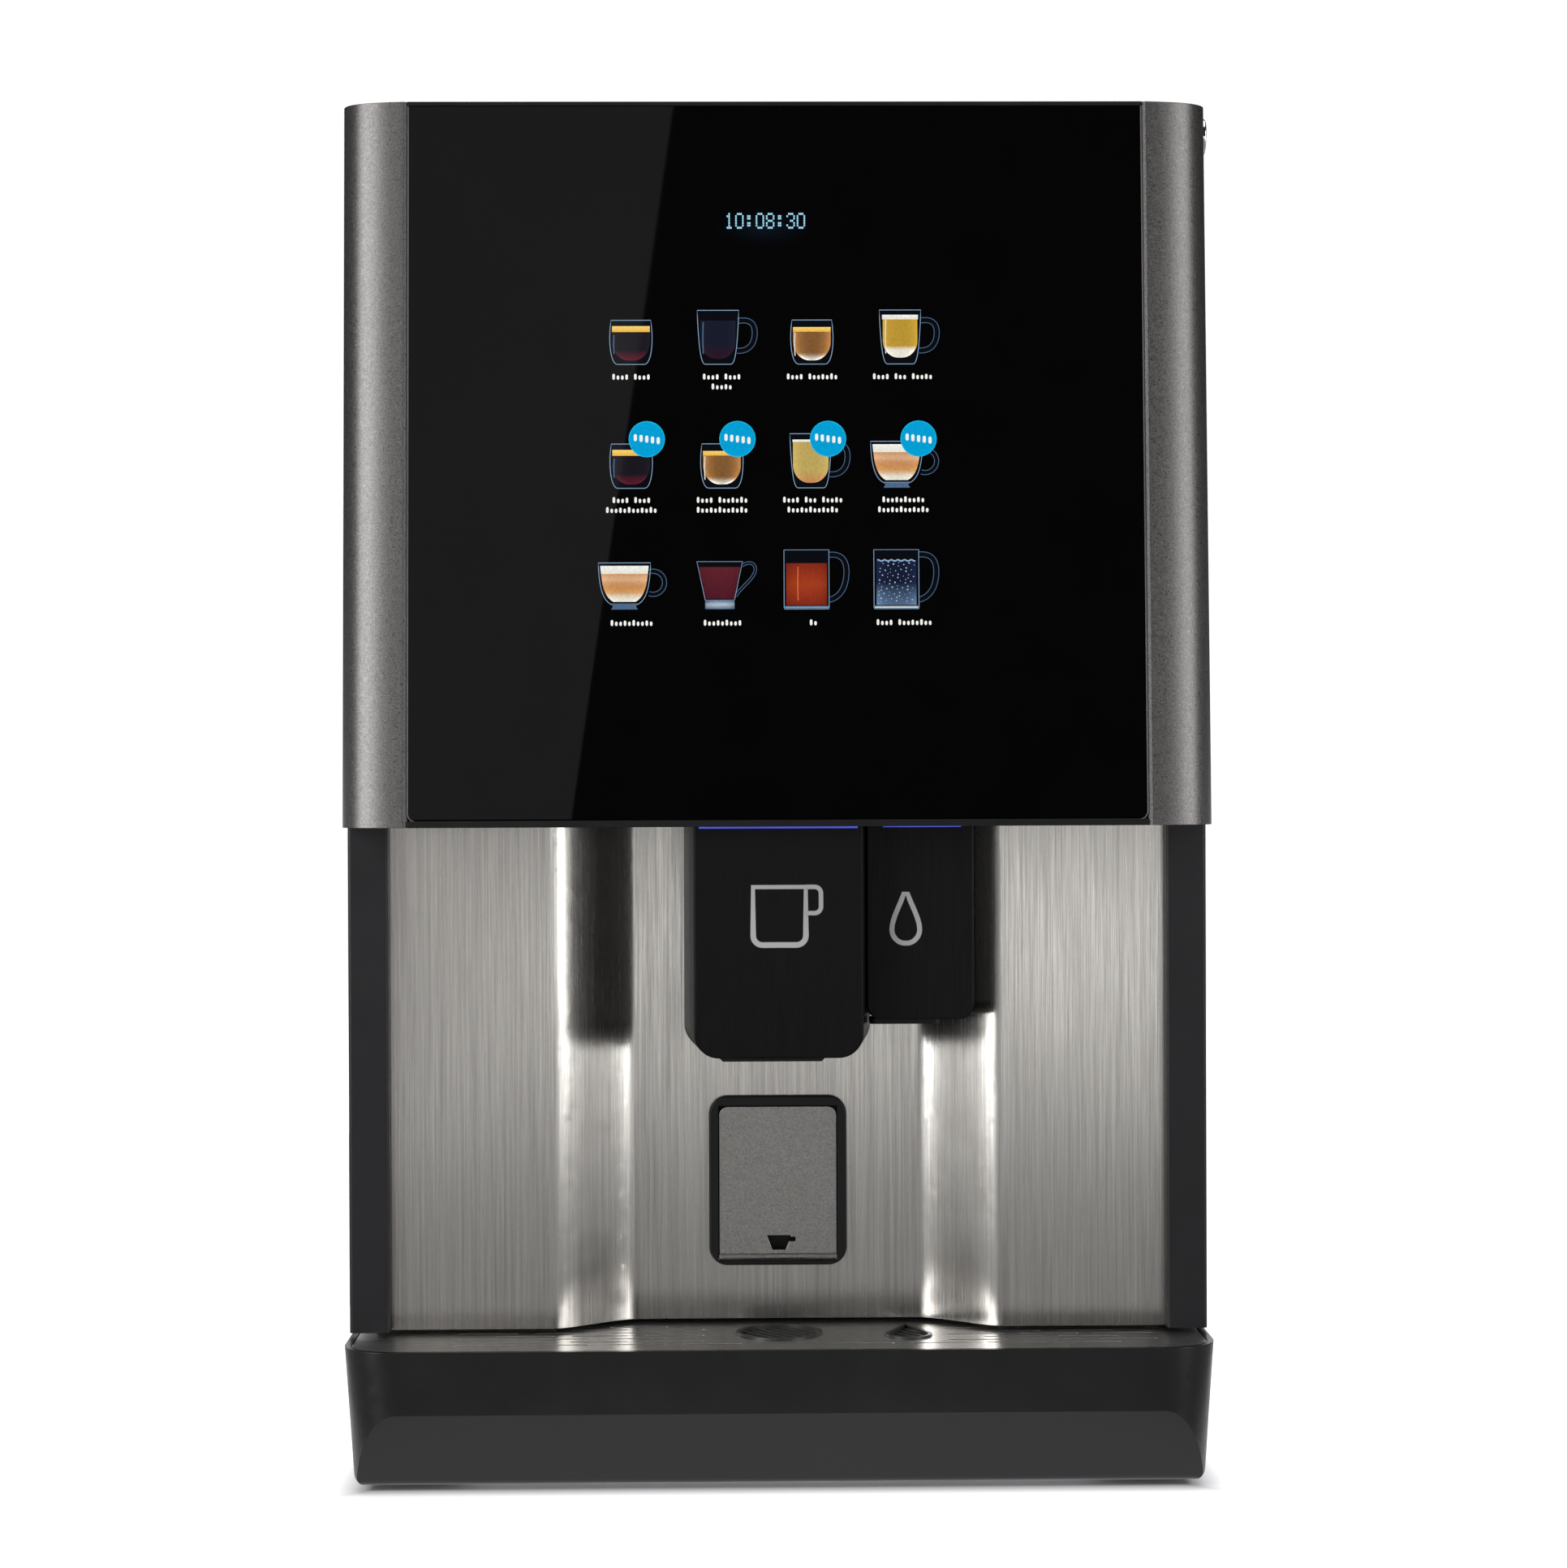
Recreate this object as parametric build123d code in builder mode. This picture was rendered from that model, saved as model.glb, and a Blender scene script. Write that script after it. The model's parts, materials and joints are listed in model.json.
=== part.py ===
from build123d import *
import math
import os

os.makedirs("parts", exist_ok=True)

# A tabletop vending machine for hot coffee, in millimetres.
# X is to the right, Y to the rear and Z up. The origin is on the counter, under the middle of the machine.

# Driving sizes of the whole machine
half_width = 206.5
rear_y = 282.0
total_height = 660.0
sheet = 1.5
running = 0.06

# Cabinet
foot_height = 10.0
cabinet_front_y = -204.5
cabinet_rear_y = 270.0
cabinet_top_z = 652.0
side_outer_x = half_width
side_inner_x = side_outer_x - sheet
flange_width = 10.5
deck_z = 72.0
deck_top_z = 74.0
front_frame_y = -198.0

# Door: upper housing with the glass, and the posts and steel panel under it
door_rear_y = -206.0
door_bottom_z = 70.5
housing_bottom_z = 313.2
housing_top_z = 657.2
housing_low_y = -271.0
housing_high_y = -250.0
glass_half_width = 174.0
pillar_inner_x = 174.3
pillar_curve_depth = 20.0
post_inner_x = 186.7
post_outer_x = 206.0
post_front_y = -237.0
panel_side_y = -228.0
panel_centre_y = -201.0
panel_sheet = 1.2
hinge_x = -198.5
hinge_y = -214.0
hinge_pin_r = 3.0
lock_y = -220.0
lock_z = 645.5

# Drip tray
tray_front_y = -280.0
tray_rear_y = -92.0
tray_back_of_front_y = -207.0
tray_top_z = 68.5
tray_bottom_z = 3.0
tray_top_half = 206.0
tray_bottom_half = 201.5
tray_inner_half = 188.0
tray_corner_r = 24.0
plate_sheet = 1.2

# Inside
hopper_x = -107.0
hopper_y = -27.0
brew_x = -107.0
brew_y = -125.0
screw_x = -71.0
canister_xs = (28.0, 96.0, 164.0)
auger_z = 458.0
mixer_xs = (62.0, 164.0)
mixer_z = 345.0
mixer_y = -155.0
shaft_r = 3.0

lean = math.atan2(housing_high_y - housing_low_y, housing_top_z - housing_bottom_z)
front_plane = Plane(
    origin=(0, housing_low_y, housing_bottom_z),
    x_dir=(1, 0, 0),
    z_dir=(0, -math.cos(lean), math.sin(lean)),
)
slope_height = (housing_top_z - housing_bottom_z) / math.cos(lean)


def rectangle(low, high):
    """Adds a rectangle between two corners to the sketch."""
    with Locations(((low[0] + high[0]) / 2, (low[1] + high[1]) / 2)):
        Rectangle(high[0] - low[0], high[1] - low[1])


def block(low, high, mode=Mode.ADD):
    """Adds a box between two corners to the part."""
    with Locations(tuple((a + b) / 2 for a, b in zip(low, high))):
        Box(*[b - a for a, b in zip(low, high)], mode=mode)


def rod(start, end, radius, mode=Mode.ADD):
    """Adds a round rod between two points to the part."""
    start, end = Vector(*start), Vector(*end)
    with Locations(Plane(origin=(start + end) / 2, z_dir=end - start)):
        Cylinder(radius=radius, height=(end - start).length, mode=mode)


# ---------------------------------------------------------------------------------------------
# Cabinet
# ---------------------------------------------------------------------------------------------

# Base pan: folded sheet. Its deck covers the drip tray's bay, between two runner ribs,
# and a tongue at the front carries the tray.
pan_half = side_inner_x - 0.5
pan_front_y = -193.0
pan_rear_y = cabinet_rear_y - sheet - 0.3
deck_rear_y = -40.0
rib_x = tray_inner_half + 1.0
with BuildPart() as base_pan:
    block((-pan_half, pan_front_y, foot_height), (pan_half, pan_rear_y, foot_height + 2))
    block((-150, -258, foot_height), (150, pan_front_y, foot_height + 2))
    for x in (-pan_half, pan_half - 2):
        block((x, pan_front_y, foot_height), (x + 2, pan_rear_y, deck_z))
    block((-pan_half, deck_rear_y - 2, foot_height), (pan_half, deck_rear_y, deck_top_z))
    block((-pan_half, pan_front_y, deck_z), (pan_half, deck_rear_y, deck_top_z))
    for x in (-rib_x - 2, rib_x):
        block((x, pan_front_y, foot_height), (x + 2, tray_rear_y + 10, 50))
base_pan.part.label = "base_pan"
export_step(base_pan.part, "parts/base_pan.step")

# Feet: four rubber feet with a rounded sole.
foot_x = 182.0
foot_ys = (-172.0, 240.0)
with BuildPart() as feet:
    with Locations([(x, y, foot_height / 2) for x in (-foot_x, foot_x) for y in foot_ys]):
        Cylinder(radius=15, height=foot_height)
    fillet(feet.edges().group_by(Axis.Z)[0], radius=2)
feet.part.label = "feet"
export_step(feet.part, "parts/feet.step")

# Side panels: folded sheet with a flange at the front and the rear, and slots for air low in front.
# The right one has a notch in its front flange that the lock's finger passes through.
lock_notch = (18.0, 3.6)
vent_low_z = 76.0
vent_high_z = 163.0
vent_front_y = -198.0
vent_rear_y = -60.0
vent_slot = 3.2
vent_zs = [vent_low_z + 11.5 + 10.6 * i for i in range(7)]
panel_low_z = 12.0


with BuildPart() as side_panel_left:
    with BuildSketch(Plane.XY.offset(panel_low_z)) as profile:
        rectangle((-side_outer_x, cabinet_front_y), (-side_inner_x, cabinet_rear_y))
        for y in (cabinet_front_y, cabinet_rear_y - sheet):
            rectangle((-side_outer_x, y), (flange_width - side_outer_x, y + sheet))
        corners = profile.vertices().group_by(Axis.X)[0]
        fillet(corners, radius=3)
    extrude(amount=cabinet_top_z - panel_low_z)
    for slot_z in vent_zs:
        block(
            (-side_outer_x, vent_front_y + 16, slot_z - vent_slot / 2),
            (-side_inner_x, vent_rear_y - 12, slot_z + vent_slot / 2),
            mode=Mode.SUBTRACT,
        )
side_panel_left.part.label = "side_panel_left"
export_step(side_panel_left.part, "parts/side_panel_left.step")

with BuildPart() as side_panel_right:
    mirror(side_panel_left.part, about=Plane.YZ)
    block(
        (side_outer_x - flange_width, cabinet_front_y, lock_z - lock_notch[0]),
        (side_inner_x - 2, cabinet_front_y + sheet, lock_z - lock_notch[1]),
        mode=Mode.SUBTRACT,
    )
side_panel_right.part.label = "side_panel_right"
export_step(side_panel_right.part, "parts/side_panel_right.step")

# Vent covers: a louvred plate low on each side.
vent_cover = 4.0
with BuildPart() as side_vent_covers:
    for side in (-1, 1):
        x_near = side * side_outer_x
        x_far = side * (side_outer_x + vent_cover)
        block(
            (min(x_near, x_far), vent_front_y, vent_low_z),
            (max(x_near, x_far), vent_rear_y, vent_high_z),
        )
    outer_edges = side_vent_covers.edges().filter_by(Axis.X)
    fillet(outer_edges, radius=3)
    for slot_z in vent_zs:
        block(
            (-side_outer_x - vent_cover, vent_front_y + 16, slot_z - vent_slot / 2),
            (side_outer_x + vent_cover, vent_rear_y - 12, slot_z + vent_slot / 2),
            mode=Mode.SUBTRACT,
        )
side_vent_covers.part.label = "side_vent_covers"
export_step(side_vent_covers.part, "parts/side_vent_covers.step")

# Back panel, with grille slots at the fan and holes for the water and power inlets.
fan_x = -140.0
fan_z = 585.0
water_x = 150.0
water_z = 60.0
inlet_collar_r = 16.0
power_x = -150.0
power_z = 62.0
with BuildPart() as back_panel:
    with BuildSketch(Plane.XZ.offset(-cabinet_rear_y)):
        rectangle((-side_inner_x, panel_low_z), (side_inner_x, cabinet_top_z))
        with Locations((fan_x, fan_z)):
            with GridLocations(0, 9, 1, 7):
                SlotOverall(66, 4, mode=Mode.SUBTRACT)
        with Locations((60, 180)):
            with GridLocations(80, 9, 2, 8):
                SlotOverall(62, 4, mode=Mode.SUBTRACT)
        with Locations((water_x, water_z)):
            Circle(inlet_collar_r + 0.4, mode=Mode.SUBTRACT)
        with Locations((power_x, power_z)):
            Rectangle(62, 24, mode=Mode.SUBTRACT)
    extrude(amount=-sheet)
back_panel.part.label = "back_panel"
export_step(back_panel.part, "parts/back_panel.step")

# Top panel: the cover plate, with the filling opening over the bean hopper,
# and two lugs that carry the lid's hinge pin.
filling_width = 150.0
filling_depth = 228.0
lid_low = (-190.0, -148.0)
lid_high = (-24.0, 104.0)
top_z = cabinet_top_z + 3
lid_hinge_y = lid_high[1] + 5
lid_hinge_z = total_height - 2.4
with BuildPart() as top_panel:
    with BuildSketch(Plane.XY.offset(cabinet_top_z)):
        rectangle((-half_width, cabinet_front_y), (half_width, cabinet_rear_y + sheet))
        with Locations((hopper_x, hopper_y)):
            RectangleRounded(filling_width, filling_depth, 10, mode=Mode.SUBTRACT)
    extrude(amount=top_z - cabinet_top_z)
    fillet(top_panel.edges().filter_by(Axis.Z).group_by(Axis.Y)[-1], radius=4)
    for x in (lid_low[0] - 5, lid_high[0] + 1):
        block((x, lid_hinge_y - 2.4, top_z), (x + 4, lid_hinge_y + 2.4, total_height))
    with Locations(((lid_low[0] + lid_high[0]) / 2, lid_hinge_y, lid_hinge_z)):
        Cylinder(radius=1.0, height=lid_high[0] - lid_low[0] + 8, rotation=(0, 90, 0))
top_panel.part.label = "top_panel"
export_step(top_panel.part, "parts/top_panel.step")

# Hopper lid: a shallow crowned cover with a hinge barrel along its rear edge.
lid_thick = 4.4
lid_low_z = total_height - lid_thick
with BuildPart() as hopper_lid:
    with BuildSketch(Plane.XY.offset(lid_low_z)):
        rectangle(lid_low, (lid_high[0], lid_high[1] + 1))
    extrude(amount=lid_thick)
    front_corners = hopper_lid.edges().filter_by(Axis.Z).group_by(Axis.Y)[0]
    fillet(front_corners, radius=9)
    fillet(hopper_lid.faces().sort_by(Axis.Z)[-1].edges(), radius=1.6)
    with Locations(((lid_low[0] + lid_high[0]) / 2, lid_hinge_y, lid_hinge_z)):
        Cylinder(radius=2.3, height=lid_high[0] - lid_low[0] - 4, rotation=(0, 90, 0))
    block(
        (lid_low[0] + 2, lid_high[1] - 1, lid_hinge_z - 1.2),
        (lid_high[0] - 2, lid_hinge_y, lid_hinge_z + 1.2),
    )
    with Locations(((lid_low[0] + lid_high[0]) / 2, lid_hinge_y, lid_hinge_z)):
        Cylinder(radius=1.0 + running, height=400, rotation=(0, 90, 0), mode=Mode.SUBTRACT)
    block(
        (lid_low[0] + 60, lid_low[1] - 1, lid_low_z - 1),
        (lid_high[0] - 60, lid_low[1] + 3, lid_low_z + 2.2),
        mode=Mode.SUBTRACT,
    )
hopper_lid.part.label = "hopper_lid"
export_step(hopper_lid.part, "parts/hopper_lid.step")

# Front frame: the stiffening frame round the door opening.
arm_top_z = deck_top_z + 3.5
frame_low_z = arm_top_z
frame_window_x = 190.0
frame_window_low_z = frame_low_z + 6
frame_window_high_z = cabinet_top_z - 14
with BuildPart() as front_frame:
    block((-side_inner_x, front_frame_y, frame_low_z), (side_inner_x, front_frame_y + 3, cabinet_top_z))
    block(
        (-frame_window_x, front_frame_y, frame_window_low_z),
        (frame_window_x, front_frame_y + 3, frame_window_high_z),
        mode=Mode.SUBTRACT,
    )
    fillet(front_frame.edges().filter_by(Axis.Y).group_by(SortBy.LENGTH)[0], radius=0.8)
front_frame.part.label = "front_frame"
export_step(front_frame.part, "parts/front_frame.step")

# Hinge brackets: a top plate over the door and a low arm on the deck, each with its pin.
pin_depth = 13.0
with BuildPart() as hinge_brackets:
    block((-206, -221, total_height - 2.4), (-186, -190, total_height))
    block((-206, -203, top_z), (-186, -190, total_height - 2.4))
    rod((hinge_x, hinge_y, housing_top_z - 9), (hinge_x, hinge_y, total_height - 2.4), hinge_pin_r)
    block((-205, -221, deck_top_z), (-184, -207, arm_top_z))
    block((-195.5, -207, deck_top_z), (-184, -176, arm_top_z))
    rod((hinge_x, hinge_y, arm_top_z), (hinge_x, hinge_y, arm_top_z + pin_depth), hinge_pin_r)
hinge_brackets.part.label = "hinge_brackets"
export_step(hinge_brackets.part, "parts/hinge_brackets.step")

# ---------------------------------------------------------------------------------------------
# Powder side: canisters, augers, chutes, mixers
# ---------------------------------------------------------------------------------------------

canister_half = 31.0
canister_top_z = 612.0
canister_front_y = -150.0
canister_back_y = 70.0
trough_r = 17.0
wall = 2.0

# Canister shelf: a sheet shelf with a plate in front that carries the mixers.
shelf_z = auger_z - trough_r - 2
bracket_y = -136.0
with BuildPart() as canister_shelf:
    block((-8, bracket_y, shelf_z), (side_inner_x, 140, shelf_z + 2))
    block((-8, bracket_y, 318), (side_inner_x, bracket_y + 2, shelf_z))
    for x in mixer_xs:
        rod((x, bracket_y - 1, mixer_z), (x, bracket_y + 3, mixer_z), 9, Mode.SUBTRACT)
canister_shelf.part.label = "canister_shelf"
export_step(canister_shelf.part, "parts/canister_shelf.step")


def canister_outline(inset):
    """The canister's outline across its auger, drawn in by an inset."""
    half = canister_half - inset
    radius = trough_r - inset
    shoulder_z = auger_z + 42
    with BuildSketch() as outline:
        with BuildLine():
            Polyline((-radius, auger_z), (-half, shoulder_z), (-half, canister_top_z))
            Line((-half, canister_top_z), (half, canister_top_z))
            Polyline((half, canister_top_z), (half, shoulder_z), (radius, auger_z))
            CenterArc((0, auger_z), radius, 180, 180)
        make_face()
    return outline.sketch


# Powder canisters: tall bins with a round trough for the auger, open at the top.
with BuildPart() as powder_canister:
    with BuildSketch(Plane.XZ.offset(-canister_back_y)):
        add(canister_outline(0))
    extrude(amount=canister_back_y - canister_front_y)
    with BuildSketch(Plane.XZ.offset(-canister_back_y + wall)):
        add(canister_outline(wall))
    extrude(amount=canister_back_y - canister_front_y - 2 * wall, mode=Mode.SUBTRACT)
    rod((0, canister_front_y - 1, auger_z), (0, canister_front_y + 5, auger_z), trough_r - wall, Mode.SUBTRACT)
    rod((0, canister_back_y - 5, auger_z), (0, canister_back_y + 1, auger_z), shaft_r + running, Mode.SUBTRACT)
with BuildPart() as powder_canisters:
    for x in canister_xs:
        with Locations((x, 0, 0)):
            add(powder_canister.part)
powder_canisters.part.label = "powder_canisters"
export_step(powder_canisters.part, "parts/powder_canisters.step")

# Canister lids: flat lids with a moulded grip.
with BuildPart() as canister_lids:
    for x in canister_xs:
        block(
            (x - canister_half, canister_front_y, canister_top_z),
            (x + canister_half, canister_back_y, canister_top_z + 4),
        )
        block((x - 9, -60, canister_top_z + 4), (x + 9, -20, canister_top_z + 14))
    fillet(canister_lids.edges().filter_by(Axis.Z), radius=3)
canister_lids.part.label = "canister_lids"
export_step(canister_lids.part, "parts/canister_lids.step")

# Augers: a shaft with tilted flights, which meters powder forward into the chute.
flight_r = 13.5
flight_pitch = 16.0
auger_front_y = canister_front_y - 16
auger_motor_y = canister_back_y + 14
shaft_gap = 0.5
for name, x in zip(("left", "middle", "right"), canister_xs):
    with BuildPart() as powder_auger:
        rod((x, auger_front_y, auger_z), (x, auger_motor_y - shaft_gap, auger_z), shaft_r)
        flight_count = int((canister_back_y - 4 - auger_front_y) / flight_pitch)
        for i in range(flight_count):
            y = auger_front_y + 5 + flight_pitch * i
            with Locations(Plane(origin=(x, y, auger_z), z_dir=(0, 1, 0.32))):
                Cylinder(radius=flight_r, height=2.4)
        rod((x, canister_back_y + 4, auger_z), (x, auger_motor_y - shaft_gap, auger_z), 7)
    powder_auger.part.label = f"powder_auger_{name}"
    export_step(powder_auger.part, f"parts/powder_auger_{name}.step")

# Powder chutes: a hood in front of each canister that drops the powder into the mixer bowl.
chute_front_y = canister_front_y - 24
with BuildPart() as powder_chutes:
    for x in canister_xs:
        block((x - 19, chute_front_y, 420), (x + 19, canister_front_y, auger_z + 19))
        block(
            (x - 17, chute_front_y + wall, 420),
            (x + 17, canister_front_y, auger_z + 17),
            mode=Mode.SUBTRACT,
        )
powder_chutes.part.label = "powder_chutes"
export_step(powder_chutes.part, "parts/powder_chutes.step")

# Mixer bowls: a funnel over a round whipping chamber, with the outlet under it.
# The left bowl is wide, because two chutes drop into it.
funnel_halves = (56.0, 24.0)
funnel_top_z = 412.0
chamber_r = 19.0
chamber_y = (-174.0, bracket_y)
with BuildPart() as mixer_bowls:
    for x, half in zip(mixer_xs, funnel_halves):
        with BuildSketch(Plane.XY.offset(mixer_z + 8)):
            with Locations((x, mixer_y)):
                RectangleRounded(30, 30, 6)
        with BuildSketch(Plane.XY.offset(funnel_top_z)):
            with Locations((x, mixer_y)):
                RectangleRounded(2 * half, 37, 6)
        loft(ruled=True)
        rod((x, chamber_y[0], mixer_z), (x, chamber_y[1], mixer_z), chamber_r)
        rod((x, mixer_y, mixer_z - 27), (x, mixer_y, mixer_z), 7)
    for x, half in zip(mixer_xs, funnel_halves):
        with BuildSketch(Plane.XY.offset(mixer_z + 8)):
            with Locations((x, mixer_y)):
                RectangleRounded(26, 26, 4)
        with BuildSketch(Plane.XY.offset(funnel_top_z)):
            with Locations((x, mixer_y)):
                RectangleRounded(2 * half - 4, 33, 4)
        loft(ruled=True, mode=Mode.SUBTRACT)
        rod((x, chamber_y[0] + wall, mixer_z), (x, chamber_y[1] - wall, mixer_z), chamber_r - wall, Mode.SUBTRACT)
        rod((x, mixer_y, mixer_z - 28), (x, mixer_y, mixer_z), 5, Mode.SUBTRACT)
        rod((x, chamber_y[1] - 3, mixer_z), (x, chamber_y[1] + 1, mixer_z), shaft_r + running, Mode.SUBTRACT)
mixer_bowls.part.label = "mixer_bowls"
export_step(mixer_bowls.part, "parts/mixer_bowls.step")

# Mixer whippers: a bladed wheel on the motor's shaft.
blade_count = 6
whipper_y = -158.0
whipper_motor_y = bracket_y + 12
for name, x in zip(("left", "right"), mixer_xs):
    with BuildPart() as mixer_whipper:
        rod((x, whipper_y, mixer_z), (x, whipper_motor_y - shaft_gap, mixer_z), shaft_r)
        rod((x, whipper_y, mixer_z), (x, whipper_y + 2, mixer_z), 14)
        with Locations(Plane(origin=(x, whipper_y - 3, mixer_z), z_dir=(0, 1, 0))):
            with PolarLocations(8, blade_count):
                Box(11, 1.6, 7)
        rod((x, bracket_y + 5, mixer_z), (x, whipper_motor_y - shaft_gap, mixer_z), 6)
    mixer_whipper.part.label = f"mixer_whipper_{name}"
    export_step(mixer_whipper.part, f"parts/mixer_whipper_{name}.step")

# Gear motors: one behind each auger and each whipper, with a flat gearbox in front.
motor_spots = [(x, auger_motor_y, auger_z) for x in canister_xs]
motor_spots += [(x, whipper_motor_y, mixer_z) for x in mixer_xs]
with BuildPart() as gear_motors:
    for x, y, z in motor_spots:
        block((x - 22, y, z - trough_r), (x + 22, y + 20, z + 22))
        rod((x, y + 20, z), (x, y + 56, z), trough_r)
        rod((x, y + 56, z), (x, y + 60, z), 6)
    fillet(gear_motors.edges().filter_by(Axis.Y).filter_by(GeomType.LINE), radius=4)
gear_motors.part.label = "gear_motors"
export_step(gear_motors.part, "parts/gear_motors.step")

# ---------------------------------------------------------------------------------------------
# Coffee side: bean hopper, grinder, brewer, grounds bin
# ---------------------------------------------------------------------------------------------

hopper_top_z = 650.0
hopper_floor_z = 520.0
throat_r = 34.0
throat_low_z = 500.0


def hopper_shape(inset):
    """The hopper's tapered body and its throat, drawn in by an inset."""
    with BuildPart() as shape:
        floor = hopper_floor_z + inset
        for z, width, depth in ((floor, 72, 72), (hopper_top_z, 164, 236)):
            with BuildSketch(Plane.XY.offset(z)):
                with Locations((hopper_x, hopper_y)):
                    RectangleRounded(width - 2 * inset, depth - 2 * inset, 14 - inset)
        loft(ruled=True)
        rod((hopper_x, hopper_y, throat_low_z), (hopper_x, hopper_y, floor), throat_r - inset)
    return shape.part


# Bean hopper: a clear funnel under the lid, open at the top, with a throat over the grinder.
with BuildPart() as bean_hopper:
    add(hopper_shape(0))
    add(hopper_shape(2.5), mode=Mode.SUBTRACT)
bean_hopper.part.label = "bean_hopper"
export_step(bean_hopper.part, "parts/bean_hopper.step")

# Grinder body: the burr chamber, with the coffee chute down its front.
grinder_low_z = 430.0
burr_low_z = 450.0
with BuildPart() as grinder_body:
    rod((hopper_x, hopper_y, grinder_low_z), (hopper_x, hopper_y, throat_low_z), 42)
    fillet(grinder_body.edges().group_by(Axis.Z)[-1], radius=4)
    block((hopper_x - 15, -118, grinder_low_z - 20), (hopper_x + 15, -88, burr_low_z + 12))
    block((hopper_x - 15, -90, burr_low_z - 11), (hopper_x + 15, hopper_y - 30, burr_low_z + 12))
    rod((hopper_x, hopper_y, burr_low_z - 8), (hopper_x, hopper_y, throat_low_z), 31, Mode.SUBTRACT)
    rod((hopper_x, hopper_y, grinder_low_z - 1), (hopper_x, hopper_y, burr_low_z), 4 + running, Mode.SUBTRACT)
    block(
        (hopper_x - 12.5, -115.5, grinder_low_z - 21),
        (hopper_x + 12.5, -90.5, burr_low_z + 9),
        mode=Mode.SUBTRACT,
    )
    block(
        (hopper_x - 12.5, -92, burr_low_z - 8),
        (hopper_x + 12.5, hopper_y - 28, burr_low_z + 9),
        mode=Mode.SUBTRACT,
    )
grinder_body.part.label = "grinder_body"
export_step(grinder_body.part, "parts/grinder_body.step")

# Grinder burr: the driven burr with its teeth and shaft.
tooth_count = 16
with BuildPart() as grinder_burr:
    rod((hopper_x, hopper_y, burr_low_z), (hopper_x, hopper_y, burr_low_z + 10), 28)
    with Locations((hopper_x, hopper_y, burr_low_z + 11.5)):
        with PolarLocations(20, tooth_count):
            Box(13, 2.2, 3)
    rod((hopper_x, hopper_y, burr_low_z + 9), (hopper_x, hopper_y, burr_low_z + 20), 7)
    rod((hopper_x, hopper_y, grinder_low_z - 8), (hopper_x, hopper_y, burr_low_z), 4)
grinder_burr.part.label = "grinder_burr"
export_step(grinder_burr.part, "parts/grinder_burr.step")

# Grinder motor: an upright motor on a bracket from the cabinet's left side.
motor_top_z = grinder_low_z - 2
with BuildPart() as grinder_motor:
    rod((hopper_x, hopper_y, 332), (hopper_x, hopper_y, motor_top_z), 36)
    fillet(grinder_motor.edges().group_by(Axis.Z)[0], radius=5)
    block((-side_inner_x, hopper_y - 26, motor_top_z), (hopper_x + 26, hopper_y + 26, grinder_low_z))
    rod((hopper_x, hopper_y, motor_top_z - 12), (hopper_x, hopper_y, grinder_low_z), 6, Mode.SUBTRACT)
grinder_motor.part.label = "grinder_motor"
export_step(grinder_motor.part, "parts/grinder_motor.step")

# Brew frame: two end plates on a back plate, with the brew chamber between them.
frame_top_z = 400.0
brew_low_z = 240.0
chamber_low_z = 318.0
chamber_high_z = 378.0
chamber_bore_r = 20.0
screw_r = 5.0
brew_back_y = -74.0
brew_left_x = -152.0
brew_right_x = -56.0
with BuildPart() as brew_frame:
    block((brew_left_x, brew_back_y - 3, brew_low_z), (brew_right_x, brew_back_y, frame_top_z))
    for z in (brew_low_z, frame_top_z - 5):
        block((brew_left_x, -158, z), (brew_right_x, brew_back_y, z + 5))
    block((brew_left_x, -156, brew_low_z), (brew_left_x + 3, brew_back_y, frame_top_z))
    block((-132, -140, 340), (-82, brew_back_y, 352))
    rod((brew_x, brew_y, chamber_low_z), (brew_x, brew_y, chamber_high_z), 26)
    rod((brew_x, brew_y, chamber_low_z - 1), (brew_x, brew_y, chamber_high_z + 1), chamber_bore_r, Mode.SUBTRACT)
    rod((brew_x, brew_y, frame_top_z - 6), (brew_x, brew_y, frame_top_z + 1), 22, Mode.SUBTRACT)
    for z in (brew_low_z, frame_top_z - 5):
        rod((screw_x, brew_y, z - 1), (screw_x, brew_y, z + 6), screw_r + running, Mode.SUBTRACT)
    block((-side_inner_x, brew_back_y - 3, 290), (brew_left_x, brew_back_y, 340))
brew_frame.part.label = "brew_frame"
export_step(brew_frame.part, "parts/brew_frame.step")

# Brew piston: the piston on its stem, and the crosshead that the lead screw lifts.
piston_low_z = chamber_low_z + 2
crosshead_z = 250.0
crosshead_thick = 10.0
with BuildPart() as brew_piston:
    rod((brew_x, brew_y, piston_low_z), (brew_x, brew_y, piston_low_z + 14), chamber_bore_r - running)
    rod((brew_x, brew_y, crosshead_z + 5), (brew_x, brew_y, piston_low_z), 7)
    block(
        (brew_x - 12, brew_y - 10, crosshead_z),
        (screw_x + 10, brew_y + 10, crosshead_z + crosshead_thick),
    )
    rod(
        (screw_x, brew_y, crosshead_z - 1),
        (screw_x, brew_y, crosshead_z + crosshead_thick + 1),
        screw_r + running,
        Mode.SUBTRACT,
    )
brew_piston.part.label = "brew_piston"
export_step(brew_piston.part, "parts/brew_piston.step")

# Lead screw: stands in both end plates, with a collar over the upper one.
with BuildPart() as brew_screw:
    rod((screw_x, brew_y, brew_low_z - 2), (screw_x, brew_y, frame_top_z + 2), screw_r)
    rod((screw_x, brew_y, frame_top_z + 2), (screw_x, brew_y, frame_top_z + 7), 8)
brew_screw.part.label = "brew_screw"
export_step(brew_screw.part, "parts/brew_screw.step")

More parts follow.
